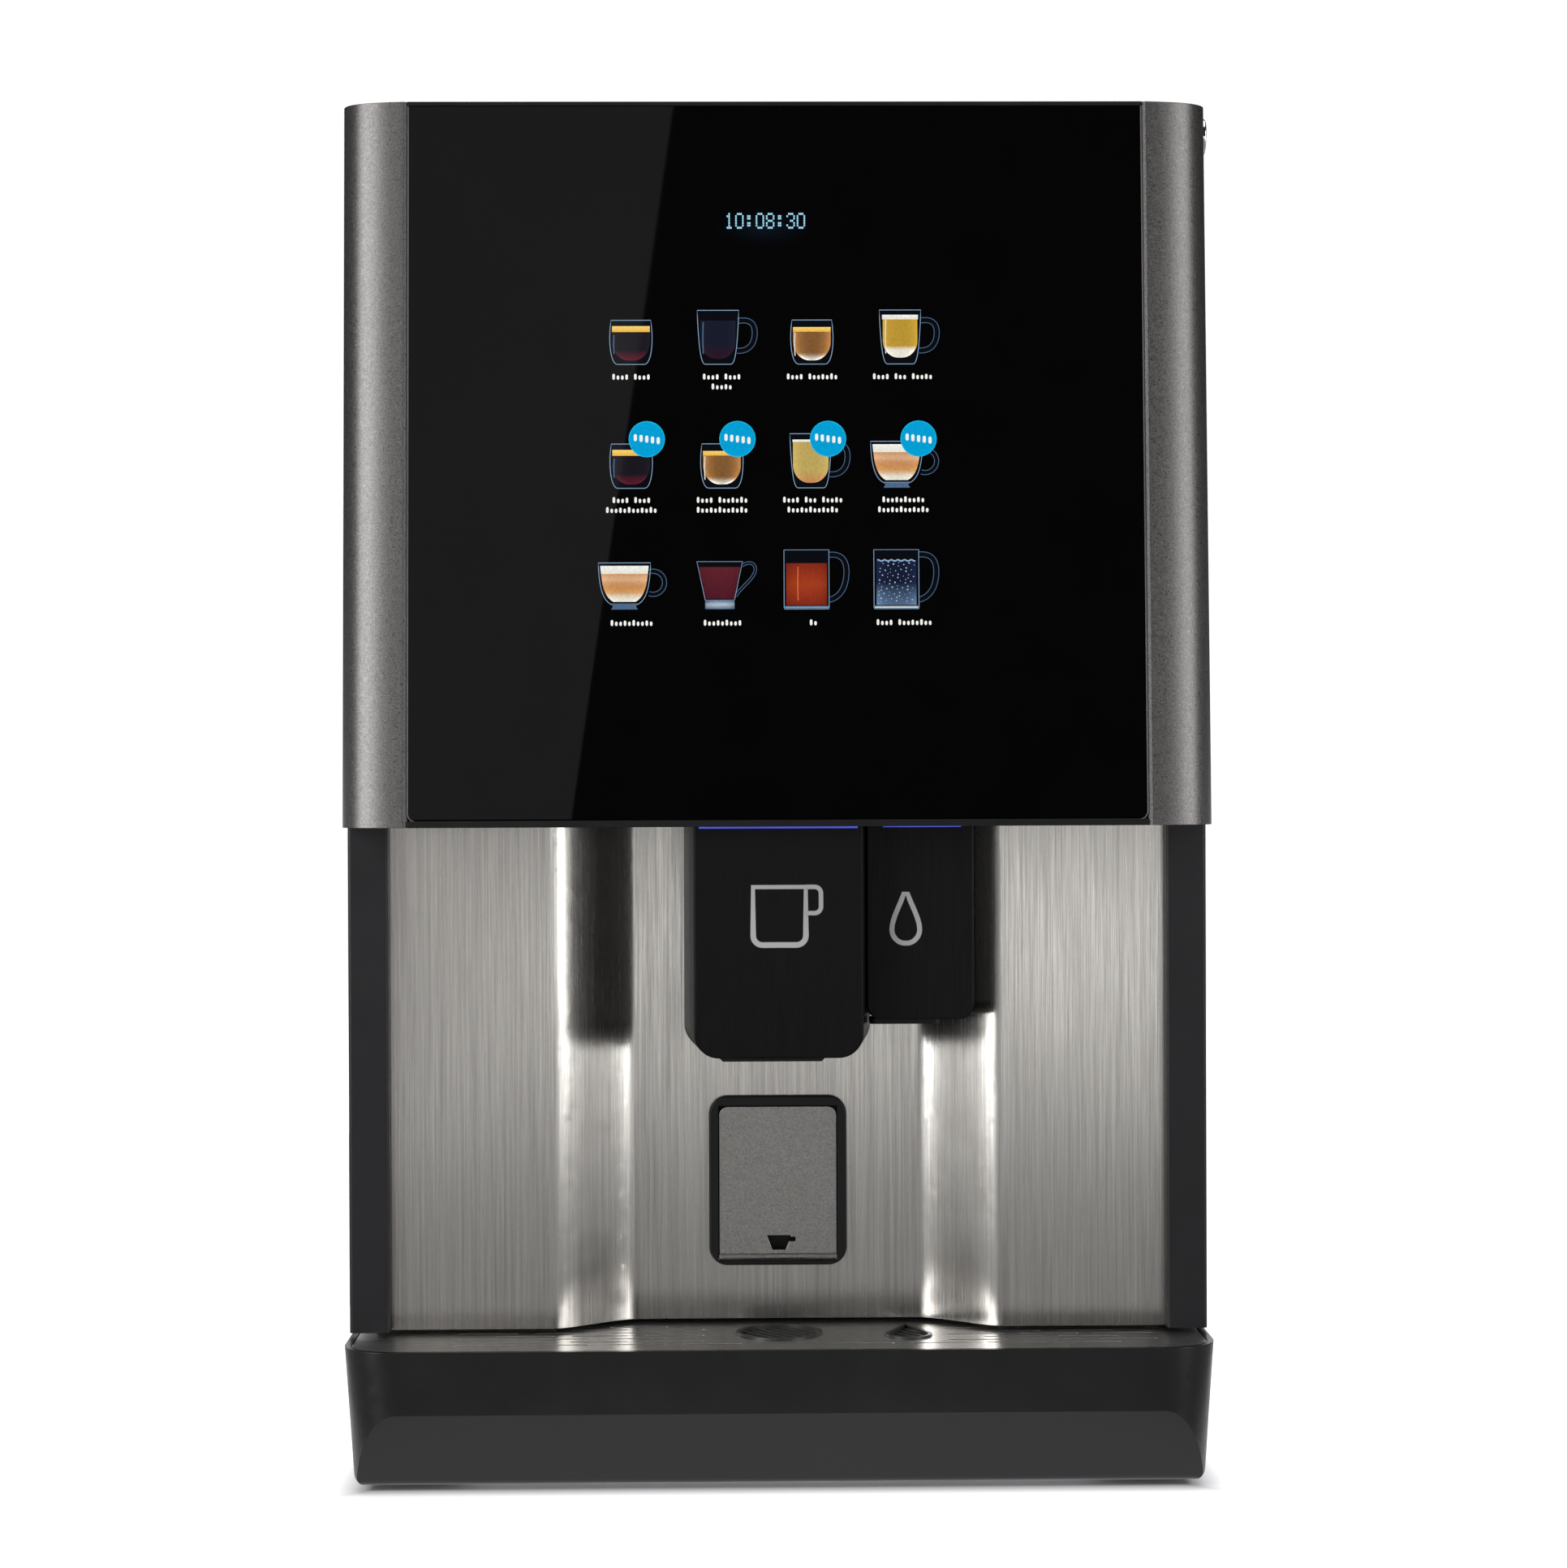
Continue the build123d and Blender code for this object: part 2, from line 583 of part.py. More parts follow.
# Brew motor: stands over the lead screw on two posts.
motor_x = screw_x
with BuildPart() as brew_motor:
    rod((motor_x, brew_y, frame_top_z + 9), (motor_x, brew_y, frame_top_z + 14), 20)
    rod((motor_x, brew_y, frame_top_z + 14), (motor_x, brew_y, frame_top_z + 62), 17)
    fillet(brew_motor.edges().group_by(Axis.Z)[-1], radius=3)
    for x in (motor_x - 12, motor_x + 12):
        for y in (brew_y - 12, brew_y + 12):
            rod((x, y, frame_top_z), (x, y, frame_top_z + 10), 2.5)
brew_motor.part.label = "brew_motor"
export_step(brew_motor.part, "parts/brew_motor.step")

# Grounds bin: an open bin under the brewer, standing on the deck, with a grip lip in front.
bin_low = (-168.0, -188.0, deck_top_z)
bin_high = (-38.0, -62.0, 226.0)
bin_wall = 2.5
bin_size = (bin_high[0] - bin_low[0], bin_high[1] - bin_low[1])
bin_centre = ((bin_low[0] + bin_high[0]) / 2, (bin_low[1] + bin_high[1]) / 2)
with BuildPart() as grounds_bin:
    with BuildSketch(Plane.XY.offset(bin_low[2])):
        with Locations(bin_centre):
            RectangleRounded(*bin_size, 8)
    extrude(amount=bin_high[2] - bin_low[2])
    with BuildSketch(Plane.XY.offset(bin_low[2] + bin_wall)):
        with Locations(bin_centre):
            RectangleRounded(bin_size[0] - 2 * bin_wall, bin_size[1] - 2 * bin_wall, 8 - bin_wall)
    extrude(amount=bin_high[2] - bin_low[2], mode=Mode.SUBTRACT)
    block((-128, bin_low[1] - 6, 196), (-78, bin_low[1] + 1, 200))
grounds_bin.part.label = "grounds_bin"
export_step(grounds_bin.part, "parts/grounds_bin.step")

# ---------------------------------------------------------------------------------------------
# Water and electrics
# ---------------------------------------------------------------------------------------------

# Boiler: an upright domed vessel on three legs, with four fittings on top.
boiler_x = 110.0
boiler_y = 60.0
boiler_low_z = 120.0
boiler_high_z = 280.0
fitting_xs = (80.0, 100.0, 120.0, 140.0)
floor_z = foot_height + 2
with BuildPart() as boiler:
    rod((boiler_x, boiler_y, boiler_low_z), (boiler_x, boiler_y, boiler_high_z), 46)
    fillet(boiler.edges().filter_by(GeomType.CIRCLE), radius=14)
    rod((boiler_x, boiler_y, 196), (boiler_x, boiler_y, 204), 50)
    with Locations((boiler_x, boiler_y, (floor_z + 150) / 2)):
        with PolarLocations(40, 3, start_angle=90):
            Cylinder(radius=5, height=150 - floor_z)
    for x in fitting_xs:
        rod((x, boiler_y, boiler_high_z - 8), (x, boiler_y, boiler_high_z + 20), 5)
boiler.part.label = "boiler"
export_step(boiler.part, "parts/boiler.step")

# Valve block: a manifold with a solenoid over each boiler fitting.
valve_low_z = boiler_high_z + 20
valve_high_z = valve_low_z + 24
with BuildPart() as valve_block:
    block((66, boiler_y - 15, valve_low_z), (154, boiler_y + 15, valve_high_z))
    for x in fitting_xs:
        block((x - 8, boiler_y - 12, valve_high_z), (x + 8, boiler_y + 12, valve_high_z + 26))
        rod((x, boiler_y, valve_high_z + 26), (x, boiler_y, valve_high_z + 33), 5)
    fillet(valve_block.edges().filter_by(Axis.Z).filter_by(lambda e: e.length < 27), radius=1.5)
valve_block.part.label = "valve_block"
export_step(valve_block.part, "parts/valve_block.step")

# Hot water tubes: rigid tubes from the valve block to the two mixers, the brewer and the water spout.
tube_r = 3.0
tube_bend = 9.0
tube_z = valve_low_z + 12
tube_start_y = boiler_y - 15
mixer_feed_z = mixer_z - 27
tube_routes = (
    (
        (80, tube_start_y, tube_z),
        (80, -60, tube_z),
        (62, -105, 296),
        (62, mixer_y, 296),
        (62, mixer_y, mixer_feed_z),
    ),
    (
        (140, tube_start_y, tube_z),
        (140, -60, tube_z),
        (164, -105, 296),
        (164, mixer_y, 296),
        (164, mixer_y, mixer_feed_z),
    ),
    (
        (100, tube_start_y, tube_z),
        (100, 15, tube_z),
        (92, -6, 338),
        (10, -50, 338),
        (-26, -100, 340),
        (-26, -178, 350),
        (brew_x, -178, 366),
        (brew_x, brew_y - 26.2, 366),
    ),
    (
        (120, tube_start_y, tube_z),
        (120, 0, tube_z),
        (118, -80, 285),
        (85, -130, 268),
        (70, -186, 262),
    ),
)
with BuildPart() as hot_water_tubes:
    for route in tube_routes:
        with BuildLine() as path:
            FilletPolyline(*route, radius=tube_bend)
        with BuildSketch(Plane(origin=path.line @ 0, z_dir=path.line % 0)):
            Circle(tube_r)
        sweep(path=path.line)
hot_water_tubes.part.label = "hot_water_tubes"
export_step(hot_water_tubes.part, "parts/hot_water_tubes.step")

# Water pump: a vibration pump with its coil, on a stand.
with BuildPart() as water_pump:
    block((120, 170, floor_z), (180, 214, floor_z + 78))
    fillet(water_pump.edges().filter_by(Axis.Z), radius=3)
    rod((150, 192, floor_z + 78), (150, 192, floor_z + 104), 14)
    rod((150, 192, floor_z + 104), (150, 192, floor_z + 120), 6)
water_pump.part.label = "water_pump"
export_step(water_pump.part, "parts/water_pump.step")

# Water inlet: the inlet valve with its threaded hose connection through the back panel.
inlet_r = 13.2
collar_rear_y = cabinet_rear_y + 2.5
with BuildPart() as water_inlet:
    block((water_x - 20, 232, water_z - 18), (water_x + 20, cabinet_rear_y, water_z + 22))
    rod((water_x, cabinet_rear_y, water_z), (water_x, collar_rear_y, water_z), inlet_collar_r)
    rod((water_x, collar_rear_y, water_z), (water_x, rear_y, water_z), inlet_r)
    rod((water_x, rear_y - 9, water_z), (water_x, rear_y + 1, water_z), 8, Mode.SUBTRACT)
    rod((water_x, 240, water_z + 22), (water_x, 240, water_z + 34), 5)
water_inlet.part.label = "water_inlet"
export_step(water_inlet.part, "parts/water_inlet.step")

# Power inlet: a flush inlet socket for a mains lead, with the opening for the rocker switch.
inlet_plate_y = cabinet_rear_y + sheet
socket_x = power_x + 13
switch_x = power_x - 18
with BuildPart() as power_inlet:
    block((power_x - 36, inlet_plate_y, power_z - 17), (power_x + 36, inlet_plate_y + 3, power_z + 17))
    fillet(power_inlet.edges().filter_by(Axis.Y), radius=4)
    block((power_x - 30, inlet_plate_y - 26, power_z - 11.5), (power_x + 30, inlet_plate_y, power_z + 11.5))
    block(
        (socket_x - 12.2, inlet_plate_y - 18, power_z - 8.2),
        (socket_x + 12.2, inlet_plate_y + 4, power_z + 8.2),
        mode=Mode.SUBTRACT,
    )
    for x, z in ((-7, 2), (0, -2), (7, 2)):
        block(
            (socket_x + x - 1, inlet_plate_y - 20, power_z + z - 2.4),
            (socket_x + x + 1, inlet_plate_y - 4, power_z + z + 2.4),
        )
    block(
        (switch_x - 7, inlet_plate_y - 10, power_z - 11),
        (switch_x + 7, inlet_plate_y + 4, power_z + 11),
        mode=Mode.SUBTRACT,
    )
    rod((switch_x - 9, inlet_plate_y - 2, power_z), (switch_x + 9, inlet_plate_y - 2, power_z), 1.2)
power_inlet.part.label = "power_inlet"
export_step(power_inlet.part, "parts/power_inlet.step")

# Power switch: a rocker on a small pin.
with BuildPart() as power_switch:
    with BuildSketch(Plane.YZ.offset(switch_x - 6.4)):
        with BuildLine():
            Polyline(
                (inlet_plate_y - 4.5, power_z - 5),
                (inlet_plate_y + 3.6, power_z - 9),
                (inlet_plate_y + 2.2, power_z),
                (inlet_plate_y + 3.6, power_z + 9),
                (inlet_plate_y - 4.5, power_z + 5),
                close=True,
            )
        make_face()
    extrude(amount=12.8)
    rod((switch_x - 9, inlet_plate_y - 2, power_z), (switch_x + 9, inlet_plate_y - 2, power_z), 1.26, Mode.SUBTRACT)
power_switch.part.label = "power_switch"
export_step(power_switch.part, "parts/power_switch.step")

# Power supply: a perforated metal box on the floor.
with BuildPart() as power_supply:
    block((-192, 120, floor_z), (-76, 226, floor_z + 68))
    with Locations((-134, 173, floor_z + 68)):
        with GridLocations(18, 18, 6, 5):
            Hole(radius=5, depth=3)
power_supply.part.label = "power_supply"
export_step(power_supply.part, "parts/power_supply.step")

# Control board: a circuit board on standoffs, with its relays, capacitors and plugs.
board_y = 256.0
with BuildPart() as control_board:
    block((-80, board_y, 320), (120, board_y + 2, 480))
    for x in (-74, 114):
        for z in (326, 474):
            rod((x, board_y + 2, z), (x, cabinet_rear_y, z), 3)
    for i in range(6):
        block((-70 + 30 * i, board_y - 16, 440), (-50 + 30 * i, board_y, 462))
        block((-68 + 30 * i, board_y - 9, 330), (-50 + 30 * i, board_y, 340))
    for i in range(4):
        rod((-50 + 22 * i, board_y - 22, 400), (-50 + 22 * i, board_y, 400), 8)
    block((50, board_y - 4, 370), (90, board_y, 410))
control_board.part.label = "control_board"
export_step(control_board.part, "parts/control_board.step")

# Fan frame: a square axial fan housing on the back panel, with a hub on four arms.
fan_half = 40.0
fan_front_y = cabinet_rear_y - 25
hub_r = 14.0
with BuildPart() as fan_frame:
    block((fan_x - fan_half, fan_front_y, fan_z - fan_half), (fan_x + fan_half, cabinet_rear_y, fan_z + fan_half))
    fillet(fan_frame.edges().filter_by(Axis.Y), radius=5)
    rod((fan_x, fan_front_y - 1, fan_z), (fan_x, cabinet_rear_y + 1, fan_z), 37, Mode.SUBTRACT)
    rod((fan_x, cabinet_rear_y - 4, fan_z), (fan_x, cabinet_rear_y, fan_z), hub_r)
    for angle in range(45, 405, 90):
        dx = 38 * math.cos(math.radians(angle))
        dz = 38 * math.sin(math.radians(angle))
        rod((fan_x, cabinet_rear_y - 2, fan_z), (fan_x + dx, cabinet_rear_y - 2, fan_z + dz), 1.8)
    rod((fan_x, fan_front_y + 4, fan_z), (fan_x, cabinet_rear_y - 3, fan_z), 2)
fan_frame.part.label = "fan_frame"
export_step(fan_frame.part, "parts/fan_frame.step")

# Fan rotor: seven pitched blades round a hub that runs on the frame's pin.
with BuildPart() as fan_rotor:
    rod((fan_x, fan_front_y + 1, fan_z), (fan_x, cabinet_rear_y - 6, fan_z), hub_r)
    fillet(fan_rotor.edges().group_by(Axis.Y)[0], radius=2)
    with Locations(Plane(origin=(fan_x, fan_front_y + 11, fan_z), z_dir=(0, -1, 0))):
        with PolarLocations(23.5, 7):
            Box(23, 18, 1.6, rotation=(35, 0, 0))
    rod((fan_x, fan_front_y + 2.5, fan_z), (fan_x, cabinet_rear_y - 5, fan_z), 2 + running, Mode.SUBTRACT)
fan_rotor.part.label = "fan_rotor"
export_step(fan_rotor.part, "parts/fan_rotor.step")

# ---------------------------------------------------------------------------------------------
# Drip tray
# ---------------------------------------------------------------------------------------------

bevel_top_z = 39.0
bevel_depth = 16.0
ledge_z = tray_top_z - plate_sheet - 0.4
rim = 3.2
basin_floor_z = 17.0
plate_rear_y = tray_rear_y - 3


def tray_outline(half, inset):
    """A level outline of the tray's front part, with rounded front corners."""
    with BuildSketch() as outline:
        rectangle((-half + inset, tray_front_y + inset), (half - inset, tray_back_of_front_y))
        fillet(outline.vertices().group_by(Axis.Y)[0], radius=tray_corner_r - inset)
    return outline.sketch


# Drip tray: a moulded tray whose front stands in front of the cabinet, with its lower front cut back,
# and whose narrower basin runs back into the bay under the deck.
with BuildPart() as drip_tray:
    for z, half in ((tray_bottom_z, tray_bottom_half), (tray_top_z, tray_top_half)):
        with BuildSketch(Plane.XY.offset(z)):
            add(tray_outline(half, 0))
    loft(ruled=True)
    with BuildSketch(Plane.YZ.offset(-half_width)):
        with BuildLine():
            Polyline(
                (tray_front_y - 1, bevel_top_z + 2),
                (tray_front_y, bevel_top_z),
                (tray_front_y + bevel_depth, tray_bottom_z - 0.1),
                (tray_front_y - 1, tray_bottom_z - 0.1),
                close=True,
            )
        make_face()
    extrude(amount=2 * half_width, mode=Mode.SUBTRACT)
    bottom_edges = drip_tray.faces().sort_by(Axis.Z)[0].edges()
    fillet(bottom_edges.filter_by(lambda e: e.center().Y < tray_back_of_front_y - 1), radius=5)
    block((-tray_inner_half, tray_back_of_front_y, 14), (tray_inner_half, tray_rear_y, 66))
    # the plate's seat, the basin under it and the hollow under the front part
    with BuildSketch(Plane.XY.offset(ledge_z)):
        add(tray_outline(tray_top_half, rim))
    extrude(amount=tray_top_z - ledge_z, mode=Mode.SUBTRACT)
    block(
        (-tray_inner_half + 2.5, tray_back_of_front_y - 1, basin_floor_z),
        (tray_inner_half - 2.5, tray_rear_y - 2.5, tray_top_z),
        mode=Mode.SUBTRACT,
    )
    block(
        (-tray_inner_half + 4, tray_front_y + bevel_depth + 6, basin_floor_z),
        (tray_inner_half - 4, tray_back_of_front_y, ledge_z),
        mode=Mode.SUBTRACT,
    )
    block(
        (-tray_inner_half + 4, tray_front_y + bevel_depth + 6, tray_bottom_z),
        (tray_inner_half - 4, tray_back_of_front_y + 1, basin_floor_z - 3),
        mode=Mode.SUBTRACT,
    )
drip_tray.part.label = "drip_tray"
export_step(drip_tray.part, "parts/drip_tray.step")

# Tray plate: the steel grate, with rows of drain slots, a round hole and a drop-shaped hole.
seat_gap = 0.3
round_r = 21.0
round_y = -230.0
drop_x = 62.0
drop_y = -238.5
drop_r = 11.5
drop_tip_y = drop_y + 30
row_pitch = 8.0
row_count = 7
slot_width = 1.8


def drop_outline(inset):
    """A drop with its tip to the rear, drawn in by an inset."""
    radius = drop_r - inset
    reach = drop_tip_y - drop_y - 1.6 * inset
    touch = math.asin(radius / reach)
    side_x = radius * math.cos(touch)
    side_y = drop_y + radius * math.sin(touch)
    with BuildSketch() as outline:
        with BuildLine():
            Polyline((drop_x - side_x, side_y), (drop_x, drop_y + reach), (drop_x + side_x, side_y))
            ThreePointArc((drop_x - side_x, side_y), (drop_x, drop_y - radius), (drop_x + side_x, side_y))
        make_face()
    return outline.sketch


with BuildPart() as tray_plate:
    with BuildSketch(Plane.XY.offset(ledge_z)) as plate_outline:
        half = tray_top_half - rim - seat_gap
        rectangle((-half, tray_front_y + rim + seat_gap), (half, tray_back_of_front_y))
        fillet(plate_outline.vertices().group_by(Axis.Y)[0], radius=tray_corner_r - rim - seat_gap)
        inner = tray_inner_half - 3
        rectangle((-inner, tray_back_of_front_y), (inner, plate_rear_y))
        with Locations((0, round_y)):
            Circle(round_r, mode=Mode.SUBTRACT)
    extrude(amount=plate_sheet)
    with BuildSketch(Plane.XY.offset(ledge_z)):
        add(drop_outline(0))
    extrude(amount=plate_sheet, mode=Mode.SUBTRACT)
    with BuildSketch(Plane.XY.offset(ledge_z)):
        for row in range(row_count):
            y = tray_front_y + 21 + row_pitch * row
            shift = 18 if row % 2 else 0
            for x in range(-140, 160, 36):
                centre = x + shift
                near_round = math.hypot(centre, y - round_y) < round_r + 19
                near_drop = abs(centre - drop_x) < 31 and abs(y + 233) < 24
                if not near_round and not near_drop:
                    with Locations((centre, y)):
                        SlotOverall(28, slot_width)
    extrude(amount=plate_sheet, mode=Mode.SUBTRACT)
tray_plate.part.label = "tray_plate"
export_step(tray_plate.part, "parts/tray_plate.step")

# Tray inserts: a round one under the coffee spout and a drop-shaped one under the water spout.
# Each is a ring with slanted bars.
insert_low_z = ledge_z - 3
insert_gap = 0.25
bar_pitch = 5.0
with BuildPart() as tray_inserts:
    with BuildSketch(Plane.XY.offset(insert_low_z)):
        with Locations((0, round_y)):
            Circle(round_r - insert_gap)
            Circle(round_r - 2.2, mode=Mode.SUBTRACT)
        add(drop_outline(insert_gap))
    extrude(amount=tray_top_z + 0.6 - insert_low_z)
    with BuildSketch(Plane.XY.offset(insert_low_z)):
        add(drop_outline(2.2))
    extrude(amount=tray_top_z + 1 - insert_low_z, mode=Mode.SUBTRACT)
    with BuildSketch(Plane.XY.offset(insert_low_z)):
        with Locations((0, round_y)):
            Circle(round_r - 2)
        with Locations((0, round_y)):
            with Locations(Location((0, 0), 38)):
                with GridLocations(bar_pitch, 1, 9, 1):
                    Rectangle(bar_pitch - 2.2, 60, mode=Mode.SUBTRACT)
    extrude(amount=3.6)
    with BuildSketch(Plane.XY.offset(insert_low_z)):
        add(drop_outline(2.0))
        with Locations((drop_x, drop_y + 8)):
            with Locations(Location((0, 0), 38)):
                with GridLocations(bar_pitch, 1, 9, 1):
                    Rectangle(bar_pitch - 2.2, 60, mode=Mode.SUBTRACT)
    extrude(amount=3.6)
tray_inserts.part.label = "tray_inserts"
export_step(tray_inserts.part, "parts/tray_inserts.step")

# ---------------------------------------------------------------------------------------------
# Door
# ---------------------------------------------------------------------------------------------


def pillar_outline(front_y, inset):
    """A level outline of the right pillar: flat inner side, and a front that curves back to the outer side."""
    inner_x = pillar_inner_x + inset
    outer_x = half_width - inset
    flat_x = inner_x + 2
    with BuildSketch() as outline:
        with BuildLine():
            Line((inner_x, front_y + inset + 0.8), (flat_x, front_y + inset))
            Spline(
                (flat_x, front_y + inset),
                (outer_x, front_y + pillar_curve_depth + inset / 2),
                tangents=((1, 0.12), (0.02, 1)),
                tangent_scalars=(1.35, 1.2),
            )
            Polyline(
                (outer_x, front_y + pillar_curve_depth + inset / 2),
                (outer_x, door_rear_y),
                (inner_x, door_rear_y),
                (inner_x, front_y + inset + 0.8),
            )
        make_face()
    return outline.sketch


def pillar_body(inset, low_z, high_z):
    """The right pillar between two levels, leaning back as the housing's front does."""
    with BuildPart() as body:
        for z in (low_z, high_z):
            share = (z - housing_bottom_z) / (housing_top_z - housing_bottom_z)
            with BuildSketch(Plane.XY.offset(z)):
                add(pillar_outline(housing_low_y + share * (housing_high_y - housing_low_y), inset))
        loft(ruled=True)
    return body.part


# Right pillar: a deep rounded profile, hollow and open at the rear, with the hole for the lock.
pillar_wall = 3.2
lock_case_r = 8.0
with BuildPart() as pillar_right:
    add(pillar_body(0, housing_bottom_z, housing_top_z))
    cavity = pillar_body(pillar_wall, housing_bottom_z + pillar_wall, housing_top_z - pillar_wall)
    add(cavity, mode=Mode.SUBTRACT)
    rod((190, lock_y, lock_z), (half_width + 1, lock_y, lock_z), lock_case_r, Mode.SUBTRACT)
pillar_right.part.label = "pillar_right"
export_step(pillar_right.part, "parts/pillar_right.step")

# Left pillar: the mirror of the right one. Its rear edge is rounded about the hinge axis,
# and its top is bored for the upper hinge pin.
hinge_round = door_rear_y - hinge_y
with BuildPart() as pillar_left:
    add(pillar_body(0, housing_bottom_z, housing_top_z))
    cavity = pillar_body(pillar_wall, housing_bottom_z + pillar_wall, housing_top_z - pillar_wall)
    add(cavity, mode=Mode.SUBTRACT)
    rod((-hinge_x, hinge_y, housing_top_z - 14), (-hinge_x, hinge_y, housing_top_z), hinge_pin_r + 3.5)
    rod(
        (-hinge_x, hinge_y, housing_top_z - 15),
        (-hinge_x, hinge_y, housing_top_z + 1),
        hinge_pin_r + running,
        Mode.SUBTRACT,
    )
    with BuildSketch(Plane.XY.offset(housing_bottom_z)):
        rectangle((-hinge_x, hinge_y), (half_width + 1, door_rear_y + 1))
        with Locations((-hinge_x, hinge_y)):
            Circle(hinge_round, mode=Mode.SUBTRACT)
    extrude(amount=housing_top_z - housing_bottom_z, mode=Mode.SUBTRACT)
with BuildPart() as pillar_left_turned:
    mirror(pillar_left.part, about=Plane.YZ)
pillar_left_turned.part.label = "pillar_left"
export_step(pillar_left_turned.part, "parts/pillar_left.step")

# Door frame: the deep ring behind the glass, between the pillars.
glass_thick = 4.0
glass_low = 3.4
glass_high = slope_height - 2.2
ring = 8.0
with BuildPart() as door_frame:
    with BuildSketch(Plane.YZ.offset(-glass_half_width - 0.3)):
        with BuildLine():
            Polyline(
                (housing_low_y, housing_bottom_z),
                (housing_high_y, housing_top_z),
                (door_rear_y - 2, housing_top_z),
                (door_rear_y - 2, housing_bottom_z),
                close=True,
            )
        make_face()
    extrude(amount=2 * glass_half_width + 0.6)
    with BuildSketch(front_plane):
        rectangle((-glass_half_width - 1, glass_low - 0.3), (glass_half_width + 1, glass_high + 0.3))
    extrude(amount=-glass_thick - 0.5, mode=Mode.SUBTRACT)
    block(
        (-glass_half_width + ring, housing_low_y, housing_bottom_z + ring),
        (glass_half_width - ring, door_rear_y, housing_top_z - ring),
        mode=Mode.SUBTRACT,
    )
door_frame.part.label = "door_frame"
export_step(door_frame.part, "parts/door_frame.step")

# Glass panel: one dark pane with ground edges.
with BuildPart() as glass_panel:
    with BuildSketch(front_plane.offset(-0.5)):
        rectangle((-glass_half_width, glass_low), (glass_half_width, glass_high))
    extrude(amount=-glass_thick)
    chamfer(glass_panel.faces().sort_by(Axis.Y)[0].edges(), length=0.5)
glass_panel.part.label = "glass_panel"
export_step(glass_panel.part, "parts/glass_panel.step")

# Display module: the screen and its touch board behind the glass.
with BuildPart() as display_module:
    with BuildSketch(front_plane.offset(-glass_thick - 0.6)):
        rectangle((-88, 84), (80, 306))
    extrude(amount=-9)
    with BuildSketch(front_plane.offset(-glass_thick - 9.6)):
        rectangle((-60, 120), (52, 260))
    extrude(amount=-7)
display_module.part.label = "display_module"
export_step(display_module.part, "parts/display_module.step")

# Door liner: the cover over the back of the upper housing, with two stiffening ribs.
with BuildPart() as door_liner:
    block((-glass_half_width, door_rear_y - 2, housing_bottom_z), (glass_half_width, door_rear_y, housing_top_z))
    fillet(door_liner.edges().filter_by(Axis.Y), radius=3)
    for z in (400, 560):
        block((-130, door_rear_y - 4, z), (130, door_rear_y - 2, z + 6))
    with Locations(Plane(origin=(0, door_rear_y, 484), z_dir=(0, 1, 0))):
        with GridLocations(320, 300, 2, 2):
            CounterSinkHole(radius=1.6, counter_sink_radius=3.2, depth=2)
door_liner.part.label = "door_liner"
export_step(door_liner.part, "parts/door_liner.step")

# Posts: the uprights beside the steel panel, open at the rear above their solid ends.
with BuildPart() as post_right:
    with BuildSketch(Plane.XY.offset(door_bottom_z)) as section:
        rectangle((post_inner_x, post_front_y), (post_outer_x, door_rear_y))
        fillet(section.vertices().group_by(Axis.Y)[0], radius=1.6)
    extrude(amount=housing_bottom_z - door_bottom_z)
    block(
        (post_inner_x + 3, post_front_y + 3, door_bottom_z + 30),
        (post_outer_x - 3, door_rear_y, housing_bottom_z - 12),
        mode=Mode.SUBTRACT,
    )
post_right.part.label = "post_right"
export_step(post_right.part, "parts/post_right.step")

notch_top_z = arm_top_z + 0.7
with BuildPart() as post_left:
    mirror(post_right.part, about=Plane.YZ)
    with BuildSketch(Plane.XY.offset(door_bottom_z)):
        rectangle((-post_outer_x - 1, hinge_y), (hinge_x, door_rear_y + 1))
        with Locations((hinge_x, hinge_y)):
            Circle(hinge_round, mode=Mode.SUBTRACT)
    extrude(amount=housing_bottom_z - door_bottom_z, mode=Mode.SUBTRACT)
    block(
        (-post_outer_x - 1, post_front_y + 6, door_bottom_z),
        (-post_inner_x, door_rear_y, notch_top_z),
        mode=Mode.SUBTRACT,
    )
    rod(
        (hinge_x, hinge_y, notch_top_z - 1),
        (hinge_x, hinge_y, arm_top_z + pin_depth + 1),
        hinge_pin_r + running,
        Mode.SUBTRACT,
    )
post_left.part.label = "post_left"
export_step(post_left.part, "parts/post_left.step")

# Steel panel: a sheet with a recessed middle, joined to its sides by two soft bends,
# and a window for the cup shelf.
bend_left = (-109.5, -68.5)
bend_right = (68.5, 108.0)
bend_softness = 0.25
shelf_frame_half = 33.7
shelf_low_z = 97.0
shelf_high_z = 180.0


def panel_bend(ends, start_y, end_y):
    """One soft S-bend of the steel panel."""
    lead = bend_softness * (ends[1] - ends[0])
    Bezier(
        (ends[0], start_y),
        (ends[0] + lead, start_y),
        (ends[1] - lead, end_y),
        (ends[1], end_y),
    )


def panel_line(shift):
    """The steel panel's plan line, moved back by a shift."""
    low, high = panel_side_y + shift, panel_centre_y + shift
    Line((-post_inner_x, low), (bend_left[0], low))
    panel_bend(bend_left, low, high)
    Line((bend_left[1], high), (bend_right[0], high))
    panel_bend(bend_right, high, low)
    Line((bend_right[1], low), (post_inner_x, low))


